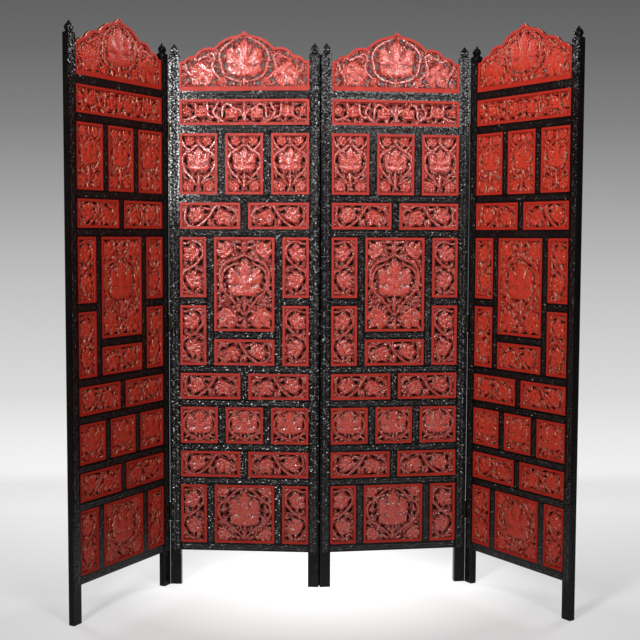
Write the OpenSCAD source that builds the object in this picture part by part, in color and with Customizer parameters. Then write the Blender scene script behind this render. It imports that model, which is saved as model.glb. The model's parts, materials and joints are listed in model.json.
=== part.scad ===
// Four-leaf folding screen: black lacquered frames that hold red lacquered, carved panels. The crest
// is pierced right through, and the panels below it keep a thin ground behind their fretwork.
// Each leaf is a grooved frame of stiles, rails and muntins, and every panel sits in it by a tongue.
// The leaves fold in a zigzag on butt hinges let into the edges of the stiles.
// Millimetres. The floor is z = 0, the front faces -Y, and the origin is below the middle of the plan.

/* [Leaf] */
// Width of one leaf over both stiles
leaf_w = 499; // [490:1:520]
// Height of the stiles at the foot of the finial
shoulder_z = 1768; // [1750:1:1785]
// Clear height under the bottom rail
foot_h = 118; // [100:1:140]
// Width of a stile seen from the front
stile_w = 35; // [34:1:42]
// Thickness of a stile
stile_t = 20; // [19:0.5:24]
// Height of a rail and width of a muntin
rail_h = 27; // [24:1:30]
// Thickness of rails and muntins
rail_t = 17; // [15:0.5:18]

/* [Rows of panels] */
// Height of the bottom row
base_h = 197; // [190:1:205]
// Height of a scroll panel
scroll_h = 87; // [82:1:92]
// Height of the row of square panels
square_h = 122; // [116:1:128]
// Height of the middle block
middle_h = 426; // [415:1:440]
// Height of the row of arched panels
arch_h = 200; // [190:1:210]
// Height of the frieze under the crest
frieze_h = 84; // [80:1:90]
// Width of a side panel
side_w = 87; // [82:1:90]

/* [Carved panels] */
// Thickness of a panel at its rim
panel_t = 18; // [17:0.5:19]
// Thickness of the fretwork inside the rim
fret_t = 11; // [10:0.5:14]
// Thickness of the ground left behind the fretwork, except in the crest
ground_t = 2; // [1.5:0.5:3]
// Width of the plain rim
rim_w = 8; // [6:0.5:10]
// Height of the crest at its shoulders
crest_side_h = 95; // [90:1:100]
// Height of the crest at its point
crest_h = 194; // [188:1:200]

/* [Joinery] */
// Width of the groove that holds the panels
groove_w = 6; // [5:0.5:7]
// Depth of that groove
groove_d = 4; // [3:0.5:5]
// Thickness of a rail's tenon
tenon_t = 8; // [7:0.5:9]
// Length of a rail's tenon
tenon_l = 18; // [14:1:19]

/* [Folds at rest] */
// Direction of the left outer leaf from +X
turn_left_outer = 61; // [40:0.5:75]
// Direction of the left inner leaf
turn_left_inner = -5; // [-10:0.5:0]
// Direction of the right inner leaf
turn_right_inner = 8; // [0:0.5:12]
// Direction of the right outer leaf
turn_right_outer = -58; // [-75:0.5:-40]

/* [Hinges] */
// Gap between two stiles when the screen is flat
fold_gap = 0.5; // [0.4:0.1:1.6]
// Distance of a pin's axis from the face of the stile
pin_out = 2; // [2:0.1:2.5]
// Length of a hinge
hinge_l = 60; // [50:1:76]
// Width of a hinge plate, across the edge of the stile
plate_w = 14; // [12:0.5:15]
// Thickness of a hinge plate
plate_t = 1.5; // [1.4:0.1:1.6]
// Outer radius of the knuckles
knuckle_r = 3; // [2.8:0.1:3.2]
// Radius of a pin
pin_r = 1.5; // [1.4:0.1:1.6]

/* [Hidden] */

black = "#1a1715";
red = "#b32a1e";
brass = "#7d6a45";
steel = "#8b8b88";

// Widths of the panels between the stiles
field_w = leaf_w - 2 * stile_w;
half_w = (field_w - rail_h) / 2;
third_w = (field_w - 2 * rail_h) / 3;
centre_w = field_w - 2 * side_w - 2 * rail_h;
side_h = (middle_h - rail_h) / 2;
centre_h = middle_h - rail_h - scroll_h;

// Rows from the bottom up; rail i lies under row i, and the last rail carries the crest
row_h = [base_h, scroll_h, square_h, scroll_h, middle_h, scroll_h, arch_h, frieze_h];
base_row = 0;
low_scroll_row = 1;
square_row = 2;
mid_scroll_row = 3;
middle_row = 4;
high_scroll_row = 5;
arch_row = 6;
frieze_row = 7;
last_rail = len(row_h);
function sum_to(v, n, i = 0) = i >= n ? 0 : v[i] + sum_to(v, n, i + 1);
function rail_z(i) = foot_h + i * rail_h + sum_to(row_h, i);
function row_z(i) = rail_z(i) + rail_h;
crest_z = row_z(last_rail);

// Ornament
crest_band = 14;      // plain band along the bottom of the crest

// Fits
play = 0.1;           // each side of a tongue or tenon
short = 0.5;          // space left at the end of a tongue or tenon
tenon_h = 16;
cut = 1;              // how far a cutter runs past a face

// Hinges
pin_y = stile_t / 2 + pin_out;
plate_in = plate_t - (fold_gap - 0.3) / 2;
hinge_zs = [250, 885, 1520];
knuckles = 5;
knuckle_l = hinge_l / knuckles;
screw_gap = 20;

// ------------------------------------------------------------------ fretwork, drawn flat
// A sawn opening along 2 to 4 points: it tapers from w in the middle to nothing at both ends
function held(v, i) = v[max(0, min(len(v) - 1, i))];
function across(v, i) = let (d = held(v, i + 1) - held(v, i - 1)) [-d.y, d.x] / norm(d);

module slit(points, w) {
    line = len(points) > 2 ? points : [points[0], (points[0] + points[1]) / 2, points[1]];
    last = len(line) - 1;
    side = [for (i = [1:last - 1]) across(line, i) * w / 2];
    polygon(concat(
        [line[0]],
        [for (i = [1:last - 1]) line[i] + side[i - 1]],
        [line[last]],
        [for (i = [last - 1:-1:1]) line[i] - side[i - 1]]
    ));
}

// A three-cornered opening
module nick(a, b, c) {
    polygon([a, b, c]);
}

module both_sides() {
    children();
    mirror([1, 0]) children();
}

// What is sawn out of each design, about the middle of a panel of the size named beside it. The
// openings run round chinar leaves and along the vines and rings that the leaves hang on.
scroll_size = [198, 87];
module scroll_design() {
    slit([[-71, 34], [-72, 17], [-79, 1]], 10);
    slit([[-62, 33], [-44, 30], [-34, 34]], 7);
    slit([[-28, 33], [-9, 32], [7, 26]], 9);
    nick([-22, 23], [-17, 6], [-2, 12]);
    slit([[22, 29], [20, 18], [14, 7]], 10);
    nick([31, 30], [55, 31], [52, 17]);
    nick([59, 14], [74, 17], [78, 2]);
    slit([[-80, -3], [-73, -18], [-61, -28]], 10);
    slit([[-58, -32], [-41, -28], [-28, -18]], 13);
    slit([[-28, -15], [-17, -10], [-6, -1]], 10);
    nick([-29, -34], [-8, -34], [-7, -14]);
    nick([8, 10], [1, -10], [13, -8]);
    slit([[15, -12], [16, -24], [22, -35]], 9);
    slit([[27, -34], [42, -32], [55, -34]], 8);
    slit([[85, -21], [79, -35]], 11);
}

side_size = [86, 200];
module side_design() {
    slit([[-37, 88], [-19, 86]], 11);
    slit([[-36, 72], [-20, 72], [-3, 79]], 9);
    nick([2, 81], [19, 79], [26, 61]);
    slit([[-34, 62], [-35, 48], [-33, 32]], 9);
    slit([[27, 54], [25, 42], [16, 31]], 11);
    slit([[-33, 28], [-35, 10], [-32, -8]], 8);
    nick([-25, 21], [-10, 19], [-11, 4]);
    slit([[11, 26], [6, 16], [-1, 8]], 9);
    nick([32, 30], [31, 8], [11, 6]);
    nick([-12, -3], [0, -12], [9, -2]);
    slit([[-30, -26], [-22, -18], [-12, -15]], 10);
    nick([10, -19], [19, -11], [32, -19]);
    slit([[-34, -32], [-30, -47], [-21, -55]], 12);
    slit([[-20, -58], [-14, -71], [-5, -79]], 10);
    slit([[11, -66], [5, -76], [3, -86]], 9);
    nick([15, -86], [32, -87], [28, -74]);
}

square_size = [123, 122];
module square_design() both_sides() {
    slit([[38, 54], [50, 52]], 10);
    nick([7, 54], [20, 48], [35, 54]);
    nick([15, 46], [28, 45], [31, 33]);
    nick([35, 41], [51, 37], [52, 18]);
    slit([[44, 13], [47, 3], [48, -8]], 10);
    slit([[42, -15], [28, -26], [13, -35]], 8);
    slit([[6, -27], [6, -43]], 7);
    nick([36, -32], [53, -30], [54, -44]);
    nick([33, -39], [31, -51], [48, -50]);
}

base_size = [198, 197];
module base_design() both_sides() {
    slit([[86, 89], [85, 76], [87, 62]], 9);
    slit([[34, 83], [48, 70], [56, 55]], 9);
    slit([[7, 78], [21, 72], [34, 62]], 10);
    slit([[32, 54], [49, 43]], 11);
    slit([[63, 48], [74, 52], [85, 60]], 10);
    slit([[60, 40], [57, 26], [56, 14]], 11);
    slit([[66, 35], [76, 27], [78, 15]], 9);
    slit([[50, 8], [59, 3], [64, -8]], 10);
    slit([[79, 10], [75, -2], [77, -12]], 11);
    slit([[49, -5], [53, -18], [53, -32]], 9);
    slit([[89, -4], [84, -17], [72, -27]], 9);
    nick([89, -32], [88, -46], [73, -43]);
    slit([[22, -51], [33, -43], [46, -37]], 8);
    slit([[3, -47], [19, -48]], 8);
    slit([[21, -55], [6, -72]], 8);
    slit([[29, -66], [18, -73], [7, -83]], 9);
    slit([[31, -70], [47, -69]], 10);
    slit([[24, -87], [44, -86]], 9);
    nick([53, -89], [68, -81], [82, -89]);
    slit([[87, -60], [87, -84]], 7);
}

centre_size = [198, 312];
module centre_design() both_sides() {
    slit([[63, 139], [83, 146]], 11);
    slit([[87, 137], [89, 124], [87, 111]], 10);
    slit([[38, 129], [36, 116], [40, 103]], 9);
    slit([[33, 137], [19, 131], [7, 129]], 10);
    slit([[26, 117], [14, 112], [7, 101]], 10);
    nick([90, 105], [79, 98], [89, 81]);
    slit([[64, 87], [52, 92], [43, 98]], 8);
    slit([[2, 92], [13, 83], [25, 73]], 9);
    slit([[26, 75], [45, 69], [63, 61]], 9);
    slit([[67, 65], [85, 52]], 10);
    slit([[28, 60], [46, 51]], 11);
    slit([[53, 49], [61, 40], [69, 28]], 12);
    slit([[57, 22], [65, 13], [70, 0]], 10);
    slit([[83, 23], [87, 5]], 12);
    slit([[57, 3], [56, -16]], 9);
    slit([[85, -3], [88, -22]], 12);
    slit([[69, -23], [72, -33], [80, -43]], 10);
    slit([[60, -23], [51, -32], [40, -39]], 9);
    slit([[4, -43], [24, -44]], 12);
    slit([[35, -39], [29, -52], [19, -64]], 9);
    nick([90, -45], [90, -63], [75, -55]);
    slit([[33, -66], [49, -68]], 10);
    slit([[70, -78], [80, -82], [90, -90]], 9);
    slit([[12, -66], [4, -90]], 7);
    slit([[25, -91], [15, -100], [6, -114]], 10);
    slit([[89, -99], [87, -120], [89, -143]], 8);
    slit([[5, -124], [25, -130]], 8);
    nick([10, -148], [24, -137], [39, -148]);
    nick([43, -148], [64, -141], [85, -148]);
}

arch_size = [123, 200];
module arch_design() both_sides() {
    slit([[52, 91], [50, 80], [42, 69]], 12);
    nick([5, 89], [20, 83], [35, 89]);
    slit([[15, 80], [15, 60]], 15);
    slit([[43, 62], [33, 56], [24, 53]], 9);
    slit([[5, 55], [21, 43]], 9);
    nick([40, 28], [50, 10], [38, -6]);
    slit([[42, -12], [34, -23], [24, -32]], 9);
    nick([3, -23], [7, -36], [18, -36]);
    nick([53, -47], [36, -37], [22, -55]);
    slit([[19, -44], [6, -62]], 9);
    slit([[9, -66], [14, -78], [11, -90]], 11);
    nick([19, -88], [33, -80], [46, -88]);
}

frieze_size = [424, 84];
module frieze_design() both_sides() {
    slit([[203, 20], [203, -8]], 8);
    slit([[193, 27], [177, 21], [162, 11]], 10);
    nick([181, -14], [194, -22], [206, -15]);
    slit([[165, 6], [166, -3], [175, -13]], 10);
    slit([[158, 25], [134, 26]], 7);
    slit([[126, 26], [91, 25]], 7);
    slit([[123, 17], [105, 5]], 9);
    slit([[112, 2], [111, -12]], 11);
    slit([[161, -15], [138, -26]], 9);
    slit([[122, -14], [130, -26]], 10);
    slit([[105, -5], [85, 9]], 8);
    nick([82, -30], [98, -22], [114, -30]);
    slit([[80, 29], [83, 13]], 11);
    slit([[76, 9], [77, -15]], 8);
    slit([[40, 23], [54, 19], [65, 9]], 10);
    slit([[63, 5], [66, -10], [73, -26]], 10);
    slit([[18, 11], [35, 22]], 8);
    slit([[7, -3], [23, 9]], 9);
    slit([[4, 24], [25, 25]], 7);
    slit([[7, -7], [13, -18], [25, -29]], 13);
    slit([[32, -28], [58, -29]], 8);
}

crest_size = [424, 194];
module crest_design() both_sides() {
    slit([[8, 172], [18, 163], [30, 154]], 10);
    slit([[31, 151], [44, 143], [58, 135]], 9);
    slit([[43, 162], [60, 155], [73, 144]], 8);
    slit([[77, 144], [87, 129]], 9);
    slit([[65, 132], [71, 118], [70, 102]], 10);
    slit([[62, 98], [62, 82], [57, 66]], 10);
    slit([[122, 121], [138, 117]], 11);
    slit([[142, 115], [153, 106]], 10);
    slit([[163, 102], [166, 87]], 11);
    slit([[184, 95], [186, 82], [181, 70]], 11);
    slit([[85, 121], [91, 105]], 11);
    slit([[95, 94], [87, 85], [81, 76]], 9);
    slit([[81, 74], [90, 58]], 13);
    nick([61, 49], [77, 58], [88, 52]);
    slit([[181, 58], [176, 42], [174, 24]], 9);
    slit([[193, 44], [200, 28]], 12);
    slit([[80, 41], [93, 36], [105, 27]], 11);
    slit([[25, 39], [42, 45], [58, 54]], 9);
    nick([4, 38], [9, 47], [23, 40]);
    slit([[45, 34], [46, 17]], 18);
    slit([[21, 28], [20, 17]], 12);
    slit([[96, 20], [118, 20]], 8);
    nick([132, 18], [148, 27], [165, 18]);
}

module design(kind) {
    if (kind == "scroll") scroll_design();
    if (kind == "scroll_mirrored") mirror([1, 0]) scroll_design();
    if (kind == "side") side_design();
    if (kind == "side_mirrored") mirror([1, 0]) side_design();
    if (kind == "square") square_design();
    if (kind == "base") base_design();
    if (kind == "centre") centre_design();
    if (kind == "arch") arch_design();
    if (kind == "frieze") frieze_design();
}

// ------------------------------------------------------------------ panels
// Stands a flat drawing up on its edge, t thick, about the middle of the leaf's thickness
module upright(t) {
    rotate([90, 0, 0]) linear_extrude(t, center = true) children();
}

module ring_2d(w, h, inside) {
    difference() {
        square([w, h], center = true);
        square([w - 2 * inside, h - 2 * inside], center = true);
    }
}

// A panel of w x h about the origin; drawn is the size that its design was drawn at
module panel(kind, w, h, drawn) {
    inner = [w - 2 * rim_w, h - 2 * rim_w];
    tongue = groove_d - short;
    color(red) union() {
        upright(panel_t) ring_2d(w, h, rim_w);
        for (z = [-(h + tongue) / 2, (h + tongue) / 2])
            translate([0, 0, z]) cube([w, groove_w - 2 * play, tongue], center = true);
        upright(fret_t) difference() {
            square(inner, center = true);
            scale([w / drawn.x, h / drawn.y]) design(kind);
        }
        translate([0, (fret_t - ground_t) / 2, 0]) upright(ground_t) square(inner, center = true);
    }
}

// Puts a panel in a row: left edge at x from the left stile, bottom edge at z
module hung(x, z, w, h) {
    translate([stile_w + x + w / 2, 0, z + h / 2]) children();
}

// The curved edge of the crest, from the point out to the right-hand stile
function bow(a, b, rise, steps) = let (n = [a.y - b.y, b.x - a.x] / norm(b - a)) [
    for (i = [0:steps - 1]) let (t = i / steps) a + (b - a) * t + n * rise * 4 * t * (1 - t)
];
function crest_at(x, climb) = [x * field_w / crest_size.x, crest_side_h + climb * (crest_h - crest_side_h)];
crest_edge = concat(
    bow(crest_at(0, 1), crest_at(22, 0.85), -2, 3),
    bow(crest_at(22, 0.85), crest_at(98, 0.44), 9, 6),
    bow(crest_at(98, 0.44), crest_at(160, 0.2), 12, 6),
    bow(crest_at(160, 0.2), crest_at(198, 0.01), 6, 4),
    [crest_at(198, 0.01), [field_w / 2, crest_side_h]]
);

module crest_outline() {
    polygon(concat(
        crest_edge,
        [[field_w / 2, 0], [-field_w / 2, 0]],
        [for (i = [len(crest_edge) - 1:-1:1]) [-crest_edge[i].x, crest_edge[i].y]]
    ));
}

module crest_window() {
    intersection() {
        offset(delta = -rim_w) crest_outline();
        translate([-field_w / 2, crest_band]) square([field_w, crest_h]);
    }
}

module crest() {
    tongue = groove_d - short;
    color(red) translate([leaf_w / 2, 0, crest_z]) union() {
        upright(panel_t) difference() {
            crest_outline();
            crest_window();
        }
        upright(groove_w - 2 * play) difference() {
            translate([-field_w / 2 - tongue, -tongue])
                square([field_w + 2 * tongue, crest_side_h + tongue]);
            translate([-field_w / 2 + rim_w, rim_w]) square([field_w - 2 * rim_w, crest_side_h]);
        }
        upright(fret_t) difference() {
            crest_window();
            scale([field_w / crest_size.x, crest_h / crest_size.y]) crest_design();
        }
    }
}

module frieze() {
    hung(0, row_z(frieze_row), field_w, frieze_h) panel("frieze", field_w, frieze_h, frieze_size);
}

module arch_panels() {
    for (i = [0:2])
        hung(i * (third_w + rail_h), row_z(arch_row), third_w, arch_h)
            panel("arch", third_w, arch_h, arch_size);
}

module scroll_pair(row) {
    hung(0, row_z(row), half_w, scroll_h) panel("scroll", half_w, scroll_h, scroll_size);
    hung(half_w + rail_h, row_z(row), half_w, scroll_h)
        panel("scroll_mirrored", half_w, scroll_h, scroll_size);
}

module scroll_panels() {
    scroll_pair(high_scroll_row);
    scroll_pair(mid_scroll_row);
    scroll_pair(low_scroll_row);
    hung(side_w + rail_h, row_z(middle_row), centre_w, scroll_h)
        panel("scroll_mirrored", centre_w, scroll_h, scroll_size);
}

module side_panels() {
    right_x = field_w - side_w;
    for (z = [row_z(middle_row), row_z(middle_row) + side_h + rail_h]) {
        hung(0, z, side_w, side_h) panel("side", side_w, side_h, side_size);
        hung(right_x, z, side_w, side_h) panel("side_mirrored", side_w, side_h, side_size);
    }
    hung(0, row_z(base_row), side_w, base_h) panel("side", side_w, base_h, side_size);
    hung(right_x, row_z(base_row), side_w, base_h) panel("side_mirrored", side_w, base_h, side_size);
}

module centre_panel() {
    hung(side_w + rail_h, row_z(middle_row) + scroll_h + rail_h, centre_w, centre_h)
        panel("centre", centre_w, centre_h, centre_size);
}

module square_panels() {
    for (i = [0:2])
        hung(i * (third_w + rail_h), row_z(square_row), third_w, square_h)
            panel("square", third_w, square_h, square_size);
}

module base_panel() {
    hung(side_w + rail_h, row_z(base_row), centre_w, base_h)
        panel("base", centre_w, base_h, base_size);
}

// ------------------------------------------------------------------ frame
// Half widths of the finial over half the stile, and their heights over the shoulder
finial = [[1, 0], [0.62, 4], [0.56, 7], [0.72, 12], [0.74, 17], [0.6, 23], [0.34, 28], [0.1, 36]];
function stile_profile(size) = concat(
    [[-size / 2, 0], [size / 2, 0]],
    [for (p = finial) [p[0] * size / 2, shoulder_z + p[1]]],
    [for (i = [len(finial) - 1:-1:0]) [-finial[i][0] * size / 2, shoulder_z + finial[i][1]]]
);

// A stile about its own middle line: on its +X side are the mortises and the groove for the crest
module stile() {
    difference() {
        intersection() {
            upright(2 * stile_t) polygon(stile_profile(stile_w));
            rotate([90, 0, 90]) linear_extrude(2 * stile_w, center = true) polygon(stile_profile(stile_t));
        }
        translate([stile_w / 2 - groove_d, -groove_w / 2, crest_z - groove_d])
            cube([groove_d + cut, groove_w, crest_side_h + groove_d]);
        for (i = [0:last_rail])
            translate([stile_w / 2 - tenon_l, -tenon_t / 2, rail_z(i) + (rail_h - tenon_h) / 2])
                cube([tenon_l + cut, tenon_t, tenon_h]);
    }
}

// hinged is -1 where the pins stand in front of the stile, 1 behind it and 0 for a free edge
module left_stile(hinged) {
    color(black) difference() {
        translate([stile_w / 2, 0, 0]) stile();
        if (hinged != 0) at_left_pins(hinged) hinge_recess();
    }
}

module right_stile(hinged) {
    color(black) difference() {
        translate([leaf_w - stile_w / 2, 0, 0]) mirror([1, 0, 0]) stile();
        if (hinged != 0) at_right_pins(hinged) hinge_recess();
    }
}

module rail(i) {
    tenon_in = (rail_h - tenon_h) / 2;
    translate([stile_w, 0, rail_z(i)]) {
        difference() {
            translate([0, -rail_t / 2, 0]) cube([field_w, rail_t, rail_h]);
            translate([-cut, -groove_w / 2, rail_h - groove_d])
                cube([field_w + 2 * cut, groove_w, groove_d + cut]);
            if (i > 0)
                translate([-cut, -groove_w / 2, -cut])
                    cube([field_w + 2 * cut, groove_w, groove_d + cut]);
        }
        for (x = [short - tenon_l, field_w])
            translate([x, -tenon_t / 2 + play, tenon_in])
                cube([tenon_l - short, tenon_t - 2 * play, tenon_h]);
    }
}

// A short rail in the middle row, grooved above and below; it is dowelled to what stands beside it
module short_rail(x, z, l) {
    translate([stile_w + x, 0, row_z(middle_row) + z]) difference() {
        translate([0, -rail_t / 2, 0]) cube([l, rail_t, rail_h]);
        for (edge = [-cut, rail_h - groove_d])
            translate([-cut, -groove_w / 2, edge]) cube([l + 2 * cut, groove_w, groove_d + cut]);
    }
}

module rails() {
    color(black) {
        for (i = [0:last_rail]) rail(i);
        short_rail(0, side_h, side_w);
        short_rail(side_w + rail_h, scroll_h, centre_w);
        short_rail(field_w - side_w, side_h, side_w);
    }
}

// A muntin in a row, its left edge at x from the left stile; a stub tenon at each end fills the
// groove of the rail.
module muntin(x, row) {
    stub = groove_d - short;
    translate([stile_w + x, 0, row_z(row)]) {
        translate([0, -rail_t / 2, 0]) cube([rail_h, rail_t, row_h[row]]);
        translate([0, -groove_w / 2 + play, -stub])
            cube([rail_h, groove_w - 2 * play, row_h[row] + 2 * stub]);
    }
}

module muntins() {
    color(black) {
        for (row = [low_scroll_row, mid_scroll_row, high_scroll_row]) muntin(half_w, row);
        for (row = [square_row, arch_row]) {
            muntin(third_w, row);
            muntin(2 * third_w + rail_h, row);
        }
        for (row = [base_row, middle_row]) {
            muntin(side_w, row);
            muntin(side_w + rail_h + centre_w, row);
        }
    }
}

// ------------------------------------------------------------------ hinges
// A hinge is drawn about its pin: the leaf that it holds lies towards +X, with its edge at
// fold_gap / 2, and the stile's near face is pin_out towards +Y.
plate_x = fold_gap / 2 + plate_in - plate_t;
plate_y = knuckle_r + 0.3;
plate_end = pin_out + plate_w;
bore_r = pin_r + 0.05;
screw_r = 1.5;
screw_head_r = 2.9;
screw_l = 14;
screw_y = (plate_y + plate_end) / 2;

module at_left_pins(side) {
    for (z = hinge_zs)
        translate([-fold_gap / 2, side * pin_y, z]) mirror([0, side > 0 ? 1 : 0, 0]) children();
}

module at_right_pins(side) {
    for (z = hinge_zs)
        translate([leaf_w + fold_gap / 2, side * pin_y, z])
            mirror([1, 0, 0]) mirror([0, side > 0 ? 1 : 0, 0]) children();
}

module at_screws() {
    for (z = [-screw_gap, 0, screw_gap])
        translate([plate_x, screw_y, z]) rotate([0, 90, 0]) children();
}

// What is cut out of a stile for a hinge
module hinge_recess() {
    clear = 0.3;
    run_out = 3;
    cylinder(r = knuckle_r + clear, h = hinge_l + 2 * run_out, center = true, $fn = 48);
    translate([plate_x, 0, -hinge_l / 2]) cube([plate_t, plate_end, hinge_l]);
    at_screws() cylinder(r = screw_r + 0.05, h = screw_l + short, $fn = 24);
}

// The first knuckle of a plate: the outermost three belong to one leaf, the two between to the other
outermost = 0;
between = 1;
module hinge_plate(first) {
    slack = 0.1;
    difference() {
        union() {
            translate([plate_x, plate_y, -hinge_l / 2]) cube([plate_t, plate_end - plate_y, hinge_l]);
            for (k = [first:2:knuckles - 1]) translate([0, 0, -hinge_l / 2 + k * knuckle_l]) {
                low = k == 0 ? 0 : slack;
                high = knuckle_l - (k == knuckles - 1 ? 0 : slack);
                translate([0, 0, low]) cylinder(r = knuckle_r, h = high - low, $fn = 48);
                translate([plate_x, 0, low]) cube([plate_t, plate_y + cut, high - low]);
            }
        }
        cylinder(r = bore_r, h = hinge_l + 2 * cut, center = true, $fn = 32);
        at_screws() screw_shape();
    }
}

module screw_shape() {
    cylinder(r1 = screw_head_r, r2 = screw_r, h = screw_head_r - screw_r, $fn = 24);
    cylinder(r = screw_r, h = screw_l, $fn = 24);
}

module pin_shape() {
    cap_r = 2.4;
    cap_h = 1.5;
    cylinder(r = pin_r, h = hinge_l, center = true, $fn = 32);
    for (z = [-hinge_l / 2 - cap_h, hinge_l / 2])
        translate([0, 0, z]) cylinder(r = cap_r, h = cap_h, $fn = 32);
}

// ------------------------------------------------------------------ the four leaves
function spun(p, a) = [p.x * cos(a) - p.y * sin(a), p.x * sin(a) + p.y * cos(a)];
left_end = -fold_gap / 2;
right_end = leaf_w + fold_gap / 2;
front = -1;
back = 1;
turns = [turn_left_outer, turn_left_inner, turn_right_inner, turn_right_outer];
// Where a leaf's left end stands if its pin at x, in front or behind, stands at p
function stand(p, leaf, x, side) = p - spun([x, side * pin_y], turns[leaf]);
function pin_of(at, leaf, x, side) = at + spun([x, side * pin_y], turns[leaf]);
// The chain of leaves and pins, worked out from a middle pin at [0, 0]
left_inner_raw = stand([0, 0], 1, right_end, back);
right_inner_raw = stand([0, 0], 2, left_end, back);
left_pin_raw = pin_of(left_inner_raw, 1, left_end, front);
right_pin_raw = pin_of(right_inner_raw, 2, right_end, front);
raw = [
    stand(left_pin_raw, 0, right_end, front),
    left_inner_raw,
    right_inner_raw,
    stand(right_pin_raw, 3, left_end, front)
];
// The plan of all four leaves is centred on the origin
corners = [for (i = [0:3]) for (x = [0, leaf_w]) for (side = [front, back])
    raw[i] + spun([x, side * stile_t / 2], turns[i])];
xs = [for (c = corners) c.x];
ys = [for (c = corners) c.y];
middle = [min(xs) + max(xs), min(ys) + max(ys)] / 2;
leaf_at = [for (r = raw) r - middle];
left_pin = left_pin_raw - middle;
middle_pin = -middle;
right_pin = right_pin_raw - middle;

module on_leaf(i) {
    translate([leaf_at[i].x, leaf_at[i].y, 0]) rotate(turns[i]) children();
}

module pins_at(p) {
    for (z = hinge_zs) translate([p.x, p.y, z]) color(brass) pin_shape();
}

// Left outer leaf
module left_outer_left_stile() on_leaf(0) left_stile(0);
module left_outer_right_stile() on_leaf(0) right_stile(front);
module left_outer_rails() on_leaf(0) rails();
module left_outer_muntins() on_leaf(0) muntins();
module left_outer_crest() on_leaf(0) crest();
module left_outer_frieze() on_leaf(0) frieze();
module left_outer_arch_panels() on_leaf(0) arch_panels();
module left_outer_scroll_panels() on_leaf(0) scroll_panels();
module left_outer_side_panels() on_leaf(0) side_panels();
module left_outer_centre_panel() on_leaf(0) centre_panel();
module left_outer_square_panels() on_leaf(0) square_panels();
module left_outer_base_panel() on_leaf(0) base_panel();
module left_outer_hinge_plates() on_leaf(0) color(brass) {
    at_right_pins(front) hinge_plate(between);
}
module left_outer_hinge_screws() on_leaf(0) color(steel) {
    at_right_pins(front) at_screws() screw_shape();
}

// Left inner leaf
module left_inner_left_stile() on_leaf(1) left_stile(front);
module left_inner_right_stile() on_leaf(1) right_stile(back);
module left_inner_rails() on_leaf(1) rails();
module left_inner_muntins() on_leaf(1) muntins();
module left_inner_crest() on_leaf(1) crest();
module left_inner_frieze() on_leaf(1) frieze();
module left_inner_arch_panels() on_leaf(1) arch_panels();
module left_inner_scroll_panels() on_leaf(1) scroll_panels();
module left_inner_side_panels() on_leaf(1) side_panels();
module left_inner_centre_panel() on_leaf(1) centre_panel();
module left_inner_square_panels() on_leaf(1) square_panels();
module left_inner_base_panel() on_leaf(1) base_panel();
module left_inner_hinge_plates() on_leaf(1) color(brass) {
    at_left_pins(front) hinge_plate(outermost);
    at_right_pins(back) hinge_plate(outermost);
}
module left_inner_hinge_screws() on_leaf(1) color(steel) {
    at_left_pins(front) at_screws() screw_shape();
    at_right_pins(back) at_screws() screw_shape();
}

// Right inner leaf
module right_inner_left_stile() on_leaf(2) left_stile(back);
module right_inner_right_stile() on_leaf(2) right_stile(front);
module right_inner_rails() on_leaf(2) rails();
module right_inner_muntins() on_leaf(2) muntins();
module right_inner_crest() on_leaf(2) crest();
module right_inner_frieze() on_leaf(2) frieze();
module right_inner_arch_panels() on_leaf(2) arch_panels();
module right_inner_scroll_panels() on_leaf(2) scroll_panels();
module right_inner_side_panels() on_leaf(2) side_panels();
module right_inner_centre_panel() on_leaf(2) centre_panel();
module right_inner_square_panels() on_leaf(2) square_panels();
module right_inner_base_panel() on_leaf(2) base_panel();
module right_inner_hinge_plates() on_leaf(2) color(brass) {
    at_left_pins(back) hinge_plate(between);
    at_right_pins(front) hinge_plate(outermost);
}
module right_inner_hinge_screws() on_leaf(2) color(steel) {
    at_left_pins(back) at_screws() screw_shape();
    at_right_pins(front) at_screws() screw_shape();
}

// Right outer leaf
module right_outer_left_stile() on_leaf(3) left_stile(front);
module right_outer_right_stile() on_leaf(3) right_stile(0);
module right_outer_rails() on_leaf(3) rails();
module right_outer_muntins() on_leaf(3) muntins();
module right_outer_crest() on_leaf(3) crest();
module right_outer_frieze() on_leaf(3) frieze();
module right_outer_arch_panels() on_leaf(3) arch_panels();
module right_outer_scroll_panels() on_leaf(3) scroll_panels();
module right_outer_side_panels() on_leaf(3) side_panels();
module right_outer_centre_panel() on_leaf(3) centre_panel();
module right_outer_square_panels() on_leaf(3) square_panels();
module right_outer_base_panel() on_leaf(3) base_panel();
module right_outer_hinge_plates() on_leaf(3) color(brass) {
    at_left_pins(front) hinge_plate(between);
}
module right_outer_hinge_screws() on_leaf(3) color(steel) {
    at_left_pins(front) at_screws() screw_shape();
}

// Pins
module left_fold_pins() pins_at(left_pin);
module middle_fold_pins() pins_at(middle_pin);
module right_fold_pins() pins_at(right_pin);

left_outer_left_stile();
left_outer_right_stile();
left_outer_rails();
left_outer_muntins();
left_outer_crest();
left_outer_frieze();
left_outer_arch_panels();
left_outer_scroll_panels();
left_outer_side_panels();
left_outer_centre_panel();
left_outer_square_panels();
left_outer_base_panel();
left_outer_hinge_plates();
left_outer_hinge_screws();
left_inner_left_stile();
left_inner_right_stile();
left_inner_rails();
left_inner_muntins();
left_inner_crest();
left_inner_frieze();
left_inner_arch_panels();
left_inner_scroll_panels();
left_inner_side_panels();
left_inner_centre_panel();
left_inner_square_panels();
left_inner_base_panel();
left_inner_hinge_plates();
left_inner_hinge_screws();
right_inner_left_stile();
right_inner_right_stile();
right_inner_rails();
right_inner_muntins();
right_inner_crest();
right_inner_frieze();
right_inner_arch_panels();
right_inner_scroll_panels();
right_inner_side_panels();
right_inner_centre_panel();
right_inner_square_panels();
right_inner_base_panel();
right_inner_hinge_plates();
right_inner_hinge_screws();
right_outer_left_stile();
right_outer_right_stile();
right_outer_rails();
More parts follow.
